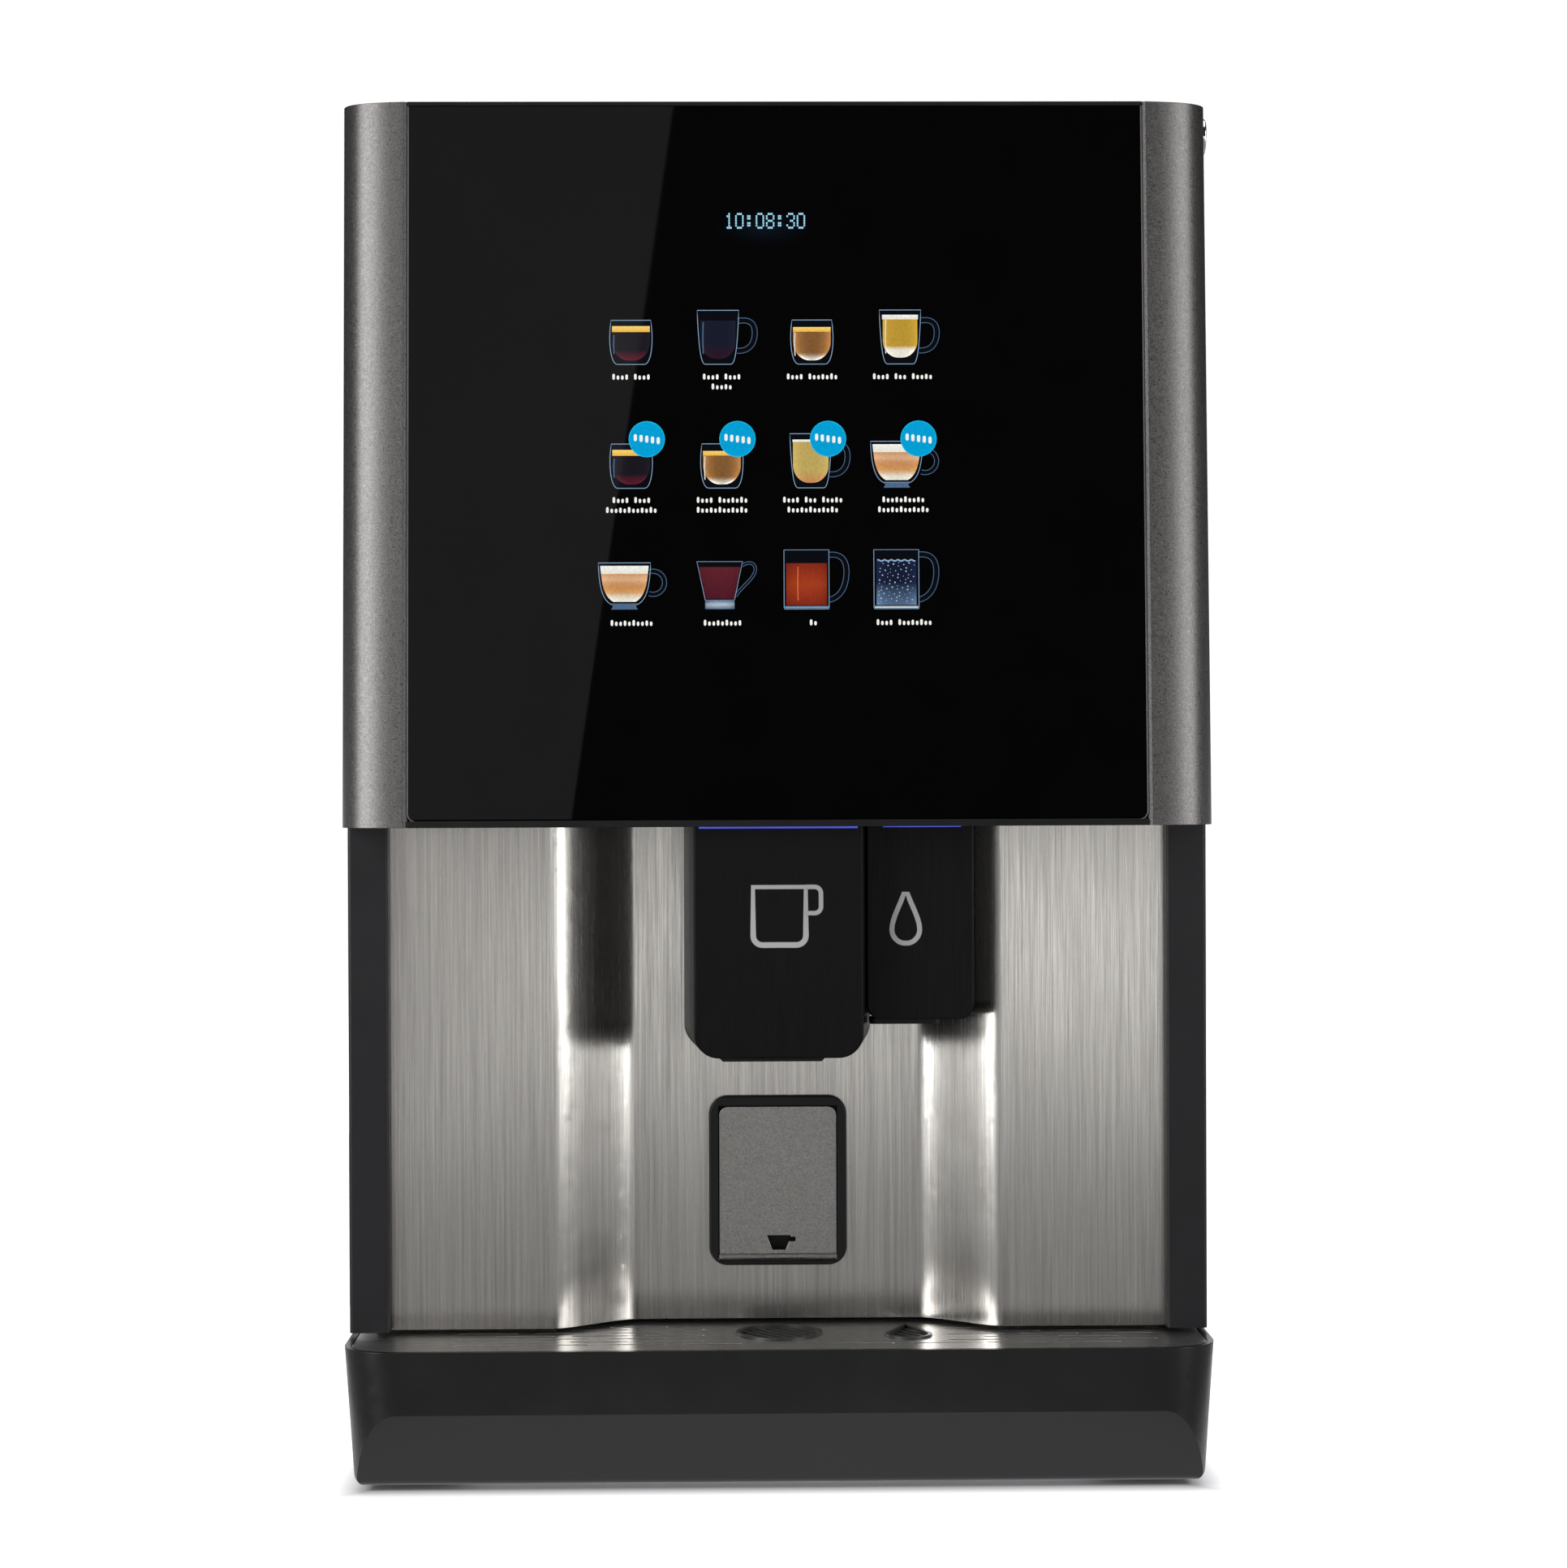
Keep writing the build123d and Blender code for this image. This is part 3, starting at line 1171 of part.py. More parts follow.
with BuildPart() as steel_panel:
    with BuildSketch(Plane.XY.offset(door_bottom_z)):
        with BuildLine():
            panel_line(0)
            panel_line(panel_sheet)
            for x in (-post_inner_x, post_inner_x):
                Line((x, panel_side_y), (x, panel_side_y + panel_sheet))
        make_face()
    extrude(amount=housing_bottom_z - door_bottom_z)
    block(
        (-shelf_frame_half + 3, panel_centre_y - 5, shelf_low_z + 3),
        (shelf_frame_half - 3, panel_centre_y + 5, shelf_high_z - 3),
        mode=Mode.SUBTRACT,
    )
steel_panel.part.label = "steel_panel"
export_step(steel_panel.part, "parts/steel_panel.step")

# Cup shelf frame: the surround and back of the shelf's pocket, set in the steel panel's window.
shelf_frame_front_y = panel_centre_y - 3.4
flap_half = 28.7
flap_low_z = 102.5
flap_high_z = 174.6
flap_pivot_y = -202.6
flap_pivot_z = 101.2
barrel_r = 1.8
with BuildPart() as cup_shelf_frame:
    with BuildSketch(Plane.XZ.offset(-panel_centre_y)) as surround:
        rectangle((-shelf_frame_half, shelf_low_z), (shelf_frame_half, shelf_high_z))
        fillet(surround.vertices(), radius=9)
    extrude(amount=3.4)
    with BuildSketch(Plane.XZ.offset(-panel_centre_y)):
        rectangle((-shelf_frame_half + 3.1, shelf_low_z + 3.1), (shelf_frame_half - 3.1, shelf_high_z - 3.1))
    extrude(amount=-5)
    chamfer(cup_shelf_frame.faces().sort_by(Axis.Y)[0].edges(), length=0.8)
    block(
        (-flap_half - 0.5, shelf_frame_front_y - 1, shelf_low_z + 1.9),
        (flap_half + 0.5, panel_centre_y + 3.5, flap_high_z + 0.6),
        mode=Mode.SUBTRACT,
    )
    for x in (-flap_half - 0.8, flap_half - 0.8):
        rod((x, flap_pivot_y, flap_pivot_z), (x + 1.6, flap_pivot_y, flap_pivot_z), 0.8)
cup_shelf_frame.part.label = "cup_shelf_frame"
export_step(cup_shelf_frame.part, "parts/cup_shelf_frame.step")

# Cup shelf: the flap that folds down to carry a small cup, with a cup-shaped finger cut-out.
with BuildPart() as cup_shelf:
    with BuildSketch(Plane.XZ.offset(-(flap_pivot_y + 1.4))) as flap:
        rectangle((-flap_half, flap_low_z - 1.3), (flap_half, flap_high_z))
        fillet(flap.vertices().group_by(Axis.Y)[-1], radius=4.6)
        with BuildLine():
            Polyline((-5.5, 111.5), (6.5, 111.5), (3.8, 104.4), (-2.8, 104.4), close=True)
        make_face(mode=Mode.SUBTRACT)
        with Locations((7, 109.6)):
            Rectangle(3.4, 2.2, mode=Mode.SUBTRACT)
    extrude(amount=2.4)
    rod((-flap_half, flap_pivot_y, flap_pivot_z), (flap_half, flap_pivot_y, flap_pivot_z), barrel_r)
    for x in (-flap_half - 1, flap_half - 1):
        rod((x, flap_pivot_y, flap_pivot_z), (x + 2, flap_pivot_y, flap_pivot_z), 0.86, Mode.SUBTRACT)
cup_shelf.part.label = "cup_shelf"
export_step(cup_shelf.part, "parts/cup_shelf.step")


def spout_shape(front_y, front_xs, rear_xs, low_z, radius):
    """A hood from a front outline to a wider rear one, with its lower corners rounded."""
    with BuildPart() as shape:
        for y, xs in ((front_y, front_xs), (cover_rear_y, rear_xs)):
            with BuildSketch(Plane.XZ.offset(-y)) as outline:
                rectangle((xs[0], low_z), (xs[1], housing_bottom_z))
                fillet(outline.vertices().group_by(Axis.Y)[0], radius=radius)
        loft(ruled=True)
    return shape.part


# Coffee spout cover: a hood from the steel panel forward, open underneath for the nozzles.
cover_rear_y = panel_centre_y - 0.3
coffee_front_y = -262.0
coffee_low_z = 203.5
cover_wall = 2.5
with BuildPart() as coffee_spout_cover:
    add(spout_shape(coffee_front_y, (-40, 40), (-45.5, 45.5), coffee_low_z, 11.7))
    front_edges = coffee_spout_cover.faces().sort_by(Axis.Y)[0].edges()
    chamfer(front_edges.filter_by(lambda e: e.center().Z < housing_bottom_z - 0.1), length=0.7)
    hollow_low = coffee_low_z + cover_wall
    add(
        spout_shape(coffee_front_y + cover_wall, (-37.5, 37.5), (-43, 43), hollow_low, 9.2),
        mode=Mode.SUBTRACT,
    )
    block((-30, -250, coffee_low_z), (24, -218, hollow_low), mode=Mode.SUBTRACT)
coffee_spout_cover.part.label = "coffee_spout_cover"
export_step(coffee_spout_cover.part, "parts/coffee_spout_cover.step")

# Water spout cover: a smaller hood beside it, set further back.
# The right bend of the steel panel passes behind it, so its rear is cut to that line.
water_front_y = -245.0
water_low_z = 220.3
with BuildPart() as water_spout_cover:
    add(spout_shape(water_front_y, (42.2, 93.5), (46, 97), water_low_z, 7))
    front_edges = water_spout_cover.faces().sort_by(Axis.Y)[0].edges()
    chamfer(front_edges.filter_by(lambda e: e.center().Z < housing_bottom_z - 0.1), length=0.7)
    hollow_low = water_low_z + cover_wall
    add(
        spout_shape(water_front_y + cover_wall, (44.7, 91), (48.5, 94.5), hollow_low, 4.5),
        mode=Mode.SUBTRACT,
    )
    block((53, -240, water_low_z), (75, -222, hollow_low), mode=Mode.SUBTRACT)
    with BuildSketch(Plane.XY.offset(door_bottom_z)):
        with BuildLine():
            panel_line(-0.3)
            Polyline(
                (post_inner_x, panel_side_y - 0.3),
                (post_inner_x, panel_centre_y + 5),
                (-post_inner_x, panel_centre_y + 5),
                (-post_inner_x, panel_side_y - 0.3),
            )
        make_face()
    extrude(amount=housing_bottom_z - door_bottom_z, mode=Mode.SUBTRACT)
water_spout_cover.part.label = "water_spout_cover"
export_step(water_spout_cover.part, "parts/water_spout_cover.step")

# Spout nozzles: a twin nozzle block for coffee and one nozzle for water, held under the housing.
# The water nozzle has a drip lip under its cover.
coffee_nozzle_x = -3.0
water_nozzle_x = 64.0
nozzle_bore = 3.0
with BuildPart() as spout_nozzles:
    block((coffee_nozzle_x - 25, -247, 200.6), (coffee_nozzle_x + 25, -221, 216))
    block((water_nozzle_x - 9, -238, 217.8), (water_nozzle_x + 9, -224, 232))
    block((44, -240, 217.8), (77.5, -222, water_low_z))
    fillet(spout_nozzles.edges().filter_by(Axis.Z), radius=2.5)
    chamfer(spout_nozzles.faces().filter_by(Axis.Z).group_by(Axis.Z)[0].edges(), length=1.2)
    for x in (coffee_nozzle_x - 12, coffee_nozzle_x + 12):
        rod((x, -234, 199), (x, -234, 217), nozzle_bore, Mode.SUBTRACT)
    rod((coffee_nozzle_x, -234, 216), (coffee_nozzle_x, -234, housing_bottom_z), 6)
    rod((water_nozzle_x, -231, 217), (water_nozzle_x, -231, 233), nozzle_bore, Mode.SUBTRACT)
    rod((water_nozzle_x, -231, 232), (water_nozzle_x, -231, housing_bottom_z), 4.5)
spout_nozzles.part.label = "spout_nozzles"
export_step(spout_nozzles.part, "parts/spout_nozzles.step")

# Lock body: the barrel's case, through the right pillar, with a round bezel outside.
lock_r = 5.8
with BuildPart() as lock_body:
    rod((189, lock_y, lock_z), (half_width + 0.2, lock_y, lock_z), lock_case_r - 0.02)
    rod((half_width, lock_y, lock_z), (half_width + 2, lock_y, lock_z), 9)
    fillet(lock_body.edges().group_by(Axis.X)[-1], radius=0.8)
    rod((188, lock_y, lock_z), (half_width + 3, lock_y, lock_z), lock_r + running, Mode.SUBTRACT)
lock_body.part.label = "lock_body"
export_step(lock_body.part, "parts/lock_body.step")

# Lock barrel: turns a cam whose finger goes behind the cabinet's front flange.
finger_near = 17.5
finger_far = 20.5
with BuildPart() as lock_barrel:
    rod((183.5, lock_y, lock_z), (half_width + 1.6, lock_y, lock_z), lock_r)
    block((183.5, lock_y - 3.5, lock_z - finger_far), (187, lock_y + 3.5, lock_z))
    block((183.5, lock_y - 3.5, lock_z - finger_far), (200, lock_y + 3.5, lock_z - finger_near))
    block(
        (half_width - 3, lock_y - 0.6, lock_z - 3.6),
        (half_width + 2, lock_y + 0.6, lock_z + 3.6),
        mode=Mode.SUBTRACT,
    )
lock_barrel.part.label = "lock_barrel"
export_step(lock_barrel.part, "parts/lock_barrel.step")
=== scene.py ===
"""The looks of a tabletop hot-drinks vending machine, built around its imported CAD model."""

import json
import math

import bmesh
import bpy
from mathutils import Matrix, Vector


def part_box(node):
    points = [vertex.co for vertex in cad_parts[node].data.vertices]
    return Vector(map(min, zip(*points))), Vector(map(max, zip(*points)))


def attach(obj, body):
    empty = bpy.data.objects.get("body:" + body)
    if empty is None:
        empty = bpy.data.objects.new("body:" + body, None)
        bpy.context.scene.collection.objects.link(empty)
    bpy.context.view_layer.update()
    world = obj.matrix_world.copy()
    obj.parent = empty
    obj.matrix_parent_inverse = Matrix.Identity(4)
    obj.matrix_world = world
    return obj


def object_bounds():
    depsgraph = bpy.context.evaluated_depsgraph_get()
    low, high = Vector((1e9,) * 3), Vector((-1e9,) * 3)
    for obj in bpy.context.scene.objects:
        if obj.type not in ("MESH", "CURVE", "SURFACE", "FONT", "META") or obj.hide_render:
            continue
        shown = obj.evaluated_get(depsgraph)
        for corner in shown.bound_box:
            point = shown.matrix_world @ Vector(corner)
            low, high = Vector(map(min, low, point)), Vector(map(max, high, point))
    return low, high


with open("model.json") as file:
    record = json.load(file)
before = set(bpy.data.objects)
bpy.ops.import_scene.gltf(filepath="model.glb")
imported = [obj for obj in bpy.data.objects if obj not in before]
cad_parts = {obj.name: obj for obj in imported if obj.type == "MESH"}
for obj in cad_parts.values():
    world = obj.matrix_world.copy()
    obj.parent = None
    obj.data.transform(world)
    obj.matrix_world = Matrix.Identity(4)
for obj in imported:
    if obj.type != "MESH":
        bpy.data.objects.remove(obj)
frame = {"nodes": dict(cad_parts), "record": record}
cad_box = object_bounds()
scene = bpy.context.scene
MM = 0.001
UP = (0, 0, 1)
ACROSS = (1, 0, 0)


# ---------------------------------------------------------------- materials

def screen_colour(red, green, blue):
    """A linear colour from the 0 to 255 values that a screen shows."""
    return tuple(((c / 255 + 0.055) / 1.055) ** 2.4 if c > 10 else c / 255 / 12.92
                 for c in (red, green, blue))


class Finish:
    """A Principled material with helpers for the patterns that most surfaces share."""

    def __init__(self, name, color, rough, metal=0.0, **sockets):
        self.material = bpy.data.materials.new(name)
        self.material.use_nodes = True
        self.tree = self.material.node_tree
        self.shader = self.tree.nodes["Principled BSDF"]
        self.color = (*color, 1.0)
        self.shader.inputs["Base Color"].default_value = self.color
        self.shader.inputs["Roughness"].default_value = rough
        self.shader.inputs["Metallic"].default_value = metal
        for socket, value in sockets.items():
            self.shader.inputs[socket.replace("_", " ")].default_value = value
        self.place = self.add("ShaderNodeTexCoord").outputs["Object"]
        self.normal = None

    def add(self, kind, **settings):
        node = self.tree.nodes.new(kind)
        for key, value in settings.items():
            setattr(node, key, value)
        return node

    def join(self, output, target):
        self.tree.links.new(output, target)

    def noise(self, scale, stretch=(1, 1, 1), detail=3.0, rough=0.55):
        """Noise from 0 to 1 with about scale cells a metre, drawn out along an axis by stretch."""
        mapping = self.add("ShaderNodeMapping")
        mapping.inputs["Scale"].default_value = [scale * s for s in stretch]
        self.join(self.place, mapping.inputs["Vector"])
        noise = self.add("ShaderNodeTexNoise")
        noise.inputs["Scale"].default_value = 1.0
        noise.inputs["Detail"].default_value = detail
        noise.inputs["Roughness"].default_value = rough
        self.join(mapping.outputs["Vector"], noise.inputs["Vector"])
        return noise.outputs["Fac"]

    def ranged(self, value, low, high, source=(0.3, 0.7)):
        """A pattern's source range, stretched to run from low to high."""
        node = self.add("ShaderNodeMapRange")
        node.inputs["From Min"].default_value = source[0]
        node.inputs["From Max"].default_value = source[1]
        node.inputs["To Min"].default_value = low
        node.inputs["To Max"].default_value = high
        self.join(value, node.inputs["Value"])
        return node.outputs["Result"]

    def mean(self, first, second):
        """The mean of two patterns."""
        node = self.add("ShaderNodeMix")
        node.inputs[0].default_value = 0.5
        self.join(first, node.inputs[2])
        self.join(second, node.inputs[3])
        return node.outputs[0]

    def tint(self, value, low, high):
        """Colour varies from low to high times the base colour with value."""
        ramp = self.add("ShaderNodeValToRGB")
        ramp.color_ramp.elements[0].position = 0.3
        ramp.color_ramp.elements[0].color = [c * low for c in self.color[:3]] + [1]
        ramp.color_ramp.elements[1].position = 0.7
        ramp.color_ramp.elements[1].color = [min(c * high, 1) for c in self.color[:3]] + [1]
        self.join(value, ramp.inputs["Fac"])
        self.join(ramp.outputs["Color"], self.shader.inputs["Base Color"])

    def vary_rough(self, value, low, high):
        """Roughness varies from low to high with value."""
        self.join(self.ranged(value, low, high), self.shader.inputs["Roughness"])

    def soft_edges(self, radius):
        """Rounds the look of sharp edges."""
        bevel = self.add("ShaderNodeBevel", samples=6)
        bevel.inputs["Radius"].default_value = radius
        self.normal = bevel.outputs["Normal"]
        self.join(self.normal, self.shader.inputs["Normal"])

    def bump(self, value, height, strength=1.0):
        """Fine relief, with its height in metres."""
        node = self.add("ShaderNodeBump")
        node.inputs["Distance"].default_value = height
        node.inputs["Strength"].default_value = strength
        self.join(value, node.inputs["Height"])
        if self.normal is not None:
            self.join(self.normal, node.inputs["Normal"])
        self.normal = node.outputs["Normal"]
        self.join(self.normal, self.shader.inputs["Normal"])

    def brushed_along(self, direction):
        """Turns the highlight's long way across the brushing direction."""
        geometry = self.add("ShaderNodeNewGeometry")
        cross = self.add("ShaderNodeVectorMath", operation="CROSS_PRODUCT")
        cross.inputs[1].default_value = direction
        self.join(geometry.outputs["Normal"], cross.inputs[0])
        self.join(cross.outputs["Vector"], self.shader.inputs["Tangent"])


def moulded(name, color, rough, grain=2500, height=0.00003, edge=0.0004, **sockets):
    """Moulded plastic or powder coat: fine grain, uneven gloss and softened edges."""
    made = Finish(name, color, rough, **sockets)
    made.soft_edges(edge)
    made.tint(made.noise(14, detail=2), 0.9, 1.1)
    made.vary_rough(made.noise(45), rough - 0.05, rough + 0.06)
    made.bump(made.noise(grain, detail=1), height, 0.6)
    return made


def brushed(name, color, rough, along, streak=1600, contrast=(0.82, 1.12), anisotropic=0.7):
    """Brushed metal with hairlines along one axis, fine ones and broader ones."""
    made = Finish(name, color, rough, 1.0, Anisotropic=anisotropic)
    made.soft_edges(0.0003)
    fine = made.noise(streak, [0.012 if a else 1 for a in along], detail=4, rough=0.75)
    broad = made.noise(streak / 2.5, [0.012 if a else 1 for a in along], detail=3, rough=0.7)
    lines = made.mean(fine, broad)
    made.tint(lines, *contrast)
    made.vary_rough(fine, rough + 0.05, rough - 0.05)
    made.bump(fine, 0.000012, 0.5)
    made.brushed_along(along)
    return made


def speckled(name, color, rough, metal, grain, contrast, height=0.00003):
    """Metal with a fine even grain that shows as light and dark specks."""
    made = Finish(name, color, rough, metal)
    made.soft_edges(0.0004)
    specks = made.noise(grain, detail=2, rough=0.7)
    made.tint(specks, *contrast)
    made.vary_rough(made.noise(grain / 2, detail=2), rough - 0.05, rough + 0.08)
    made.bump(specks, height, 0.6)
    return made


def lit(name, color, strength):
    """A light behind a diffuser: brighter and dimmer along its length."""
    made = Finish(name, [c * 0.05 for c in color], 0.3)
    made.shader.inputs["Emission Color"].default_value = (*color, 1)
    made.join(made.ranged(made.noise(60, detail=1), 0.85 * strength, 1.1 * strength),
              made.shader.inputs["Emission Strength"])
    return made


black_glass = Finish("black_glass", (0.0010, 0.0010, 0.0012), 0.02)
black_glass.vary_rough(black_glass.noise(6, detail=2), 0.012, 0.025)
black_glass.tint(black_glass.noise(30, detail=2), 0.8, 1.2)

brushed_black = Finish("brushed_black", (0.0030, 0.0029, 0.0034), 0.34,
                       Anisotropic=0.6, Specular_IOR_Level=0.12)
brushed_black.soft_edges(0.0005)
hairlines = brushed_black.noise(1500, (1, 1, 0.02), detail=3, rough=0.7)
brushed_black.tint(hairlines, 0.6, 1.8)
brushed_black.vary_rough(hairlines, 0.42, 0.30)
brushed_black.bump(hairlines, 0.00001, 0.4)
brushed_black.brushed_along(UP)

galvanised = Finish("galvanised", (0.55, 0.56, 0.57), 0.42, 0.9)
galvanised.soft_edges(0.0003)
spangle = galvanised.add("ShaderNodeTexVoronoi")
spangle.inputs["Scale"].default_value = 160
galvanised.join(galvanised.place, spangle.inputs["Vector"])
galvanised.tint(spangle.outputs["Color"], 0.85, 1.1)
galvanised.vary_rough(spangle.outputs["Color"], 0.36, 0.5)

smoked = Finish("smoked_plastic", (0.12, 0.11, 0.11), 0.12, Transmission_Weight=0.75, IOR=1.5)
smoked.vary_rough(smoked.noise(30), 0.08, 0.16)

polished = Finish("chrome", (0.75, 0.75, 0.76), 0.12, 1.0)
polished.soft_edges(0.0003)
polished.vary_rough(polished.noise(300), 0.09, 0.16)

ink = Finish("display_ink", (0.001, 0.001, 0.0015), 0.03)
ink_colour = ink.add("ShaderNodeAttribute", attribute_name="ink")
ink.join(ink_colour.outputs["Color"], ink.shader.inputs["Emission Color"])
ink.join(ink.ranged(ink.noise(1100, detail=2), 0.86, 1.08), ink.shader.inputs["Emission Strength"])

finishes = {
    "dark_satin_metal": speckled("anodised_dark", (0.115, 0.111, 0.109), 0.32, 0.8, 1700, (0.6, 1.5)),
    "black_glass": black_glass,
    "black_plastic": moulded("black_plastic", (0.008, 0.008, 0.009), 0.42, Specular_IOR_Level=0.25),
    "black_brushed": brushed_black,
    "grained_black": moulded("grained_black", (0.015, 0.015, 0.017), 0.42, 1300, 0.00012,
                             Specular_IOR_Level=0.3),
    "steel": brushed("steel", (0.58, 0.56, 0.53), 0.24, UP, contrast=(0.6, 1.25)),
    "tray_plastic": moulded("tray_plastic", (0.0045, 0.0045, 0.0052), 0.30, 3000, 0.00001),
    "insert_metal": moulded("insert_black", (0.03, 0.03, 0.03), 0.4),
    "cabinet_paint": moulded("cabinet_paint", (0.66, 0.66, 0.65), 0.45, 700, 0.00004),
    "dark_paint": moulded("dark_paint", (0.05, 0.05, 0.055), 0.45, 700, 0.00004),
    "galvanised": galvanised,
    "liner_plastic": moulded("liner_plastic", (0.32, 0.33, 0.34), 0.5),
    "rubber": moulded("rubber", (0.02, 0.02, 0.02), 0.75),
    "white_plastic": moulded("white_plastic", (0.78, 0.78, 0.76), 0.28, 2500, 0.00001),
    "blue_plastic": moulded("blue_plastic", (0.05, 0.16, 0.36), 0.4),
    "milky_plastic": moulded("milky_plastic", (0.70, 0.73, 0.74), 0.35, Subsurface_Weight=0.15),
    "smoke_plastic": smoked,
    "bin_plastic": moulded("bin_plastic", (0.05, 0.05, 0.055), 0.45),
    "motor_black": moulded("motor_black", (0.05, 0.05, 0.055), 0.38),
    "alloy": brushed("alloy", (0.62, 0.62, 0.63), 0.38, UP, 900, anisotropic=0.3),
    "burr_steel": brushed("burr_steel", (0.5, 0.5, 0.5), 0.3, ACROSS, anisotropic=0.3),
    "boiler_steel": brushed("boiler_steel", (0.6, 0.59, 0.57), 0.3, ACROSS, anisotropic=0.5),
    "brass": brushed("brass", (0.68, 0.50, 0.25), 0.28, ACROSS, anisotropic=0.3),
    "tube_plastic": moulded("tube_plastic", (0.78, 0.79, 0.8), 0.3),
    "pump_plastic": moulded("pump_plastic", (0.42, 0.1, 0.06), 0.42),
    "circuit_board": moulded("board_green", (0.02, 0.16, 0.07), 0.35),
    "chrome": polished,
}
node_finishes = {
    "tray_plate": brushed("plate_steel", (0.74, 0.72, 0.70), 0.28, ACROSS,
                          contrast=(0.85, 1.1), anisotropic=0.2),
    "cup_shelf": speckled("shelf_steel", (0.40, 0.385, 0.37), 0.38, 1.0, 1500, (0.72, 1.25)),
}
for subpart in frame["record"]["subparts"]:
    name = subpart["node"]
    node = frame["nodes"][name]
    node.data.materials.clear()
    node.data.materials.append(node_finishes.get(name, finishes[subpart["material_slot"]]).material)


# ---------------------------------------------------------------- pieces and flat drawings

def mesh_object(bm, name, finish):
    """Turns mesh code into an object with one material."""
    mesh = bpy.data.meshes.new(name)
    bm.to_mesh(mesh)
    bm.free()
    thing = bpy.data.objects.new(name, mesh)
    scene.collection.objects.link(thing)
    mesh.materials.append(finish.material)
    return thing


def add_piece(bm, name, body, finish, smooth=False):
    """Makes a mesh piece that rides on a body."""
    bmesh.ops.recalc_face_normals(bm, faces=bm.faces[:])
    piece = mesh_object(bm, name, finish)
    for face in piece.data.polygons:
        face.use_smooth = smooth
    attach(piece, body)
    return piece


def bezier(start, lead, trail, end, steps=10):
    """Points on a cubic curve in a drawing."""
    points = []
    for i in range(steps + 1):
        t = i / steps
        weights = ((1 - t) ** 3, 3 * t * (1 - t) ** 2, 3 * t * t * (1 - t), t ** 3)
        points.append(tuple(sum(w * p[axis] for w, p in zip(weights, (start, lead, trail, end)))
                            for axis in (0, 1)))
    return points


def arc(centre, radius, start, end, steps=8):
    """Points on an arc in a drawing, with its angles in degrees."""
    angles = [math.radians(start + (end - start) * i / steps) for i in range(steps + 1)]
    return [(centre[0] + radius * math.cos(a), centre[1] + radius * math.sin(a)) for a in angles]


def both_sides(side):
    """A closed outline from its right side, given from the bottom up."""
    return list(side) + [(-x, z) for x, z in reversed(side)]


def beside(path, gap, closed=False):
    """A path's parallel at a gap to its left."""
    made = []
    count = len(path)
    for i, (x, z) in enumerate(path):
        before = path[i - 1] if closed or i else path[i]
        after = path[(i + 1) % count] if closed or i < count - 1 else path[i]
        along = Vector((after[0] - before[0], after[1] - before[1])).normalized()
        made.append((x - along.y * gap, z + along.x * gap))
    return made


class Drawing:
    """Thin coloured layers on a plane, drawn in millimetres; each layer lies a little above the last."""

    thickness = 0.03
    first_lift = 0.08
    step = 0.05
    over_the_rest = 0.5

    def __init__(self, place, centre=(0, 0)):
        self.place = place
        self.centre = centre
        self.lift = self.first_lift
        self.bm = bmesh.new()
        self.ink = self.bm.verts.layers.float_color.new("ink")

    def spot(self, x, z, colour):
        """A coloured corner on the present layer."""
        vert = self.bm.verts.new(self.place(self.centre[0] + x, self.centre[1] + z, self.lift))
        vert[self.ink] = (*colour, 1)
        return vert

    def raise_layer(self):
        self.lift += self.step

    def patch(self, outline, colour):
        """A flat shape in one colour."""
        self.bm.faces.new([self.spot(x, z, colour) for x, z in outline])

    def ribbon(self, path, width, colour, closed=False):
        """A band along a path."""
        left = [self.spot(x, z, colour) for x, z in beside(path, width / 2, closed)]
        right = [self.spot(x, z, colour) for x, z in beside(path, -width / 2, closed)]
        for i in range(len(path) if closed else len(path) - 1):
            j = (i + 1) % len(path)
            self.bm.faces.new((right[i], right[j], left[j], left[i]))

    def shaded(self, side, stops, edge=1.0, columns=6):
        """A symmetrical shape from its right side, with colours from its bottom to its top.

        The colour is multiplied by edge at the left and right.
        """
        low, high = side[0][1], side[-1][1]
        rows = []
        for half, z in side:
            colour = blend_stops(stops, (z - low) / (high - low))
            row = []
            for i in range(columns + 1):
                across = 2 * i / columns - 1
                share = 1 + (edge - 1) * abs(across) ** 3
                row.append(self.spot(across * half, z, [c * share for c in colour]))
            rows.append(row)
        for lower, upper in zip(rows, rows[1:]):
            for i in range(columns):
                self.bm.faces.new((lower[i], lower[i + 1], upper[i + 1], upper[i]))

    def finish(self, name, body, slot, finish):
        """Makes the drawing a piece, a little thicker than a sheet with no thickness."""
        piece = add_piece(self.bm, name, body, finish)
        thick = piece.modifiers.new("thickness", "SOLIDIFY")
        thick.thickness = self.thickness * MM
        thick.offset = -1.0 if piece.data.polygons[0].normal.y < 0 else 1.0
        return piece


def blend_stops(stops, share):
    """The colour at a share of the way through a list of (share, colour) stops."""
    for (start, first), (end, second) in zip(stops, stops[1:]):
        if share <= end:
            t = max(0.0, (share - start) / (end - start))
            return [a + (b - a) * t for a, b in zip(first, second)]
    return stops[-1][1]


def glass_face():
    """A point on the glass's front plane, and its outward normal."""
    faces = [f for f in frame["nodes"]["glass_panel"].data.polygons if f.normal.y < -0.5]
    front = max(faces, key=lambda f: f.area)
    return front.center.copy(), front.normal.copy()


glass_point, glass_normal = glass_face()


def on_glass(x, z, lift):
    """The point on the glass at a place across and up in millimetres, lifted off it."""
    place = Vector((x * MM, 0, z * MM))
    away = place - glass_point
    place.y = glass_point.y - (glass_normal.x * away.x + glass_normal.z * away.z) / glass_normal.y
    return place + glass_normal * lift * MM


def on_front(node):
    """The same for the upright front face of a node."""
    front_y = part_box(node)[0][1]
    return lambda x, z, lift: Vector((x * MM, front_y - lift * MM, z * MM))


# ---------------------------------------------------------------- drink pictures

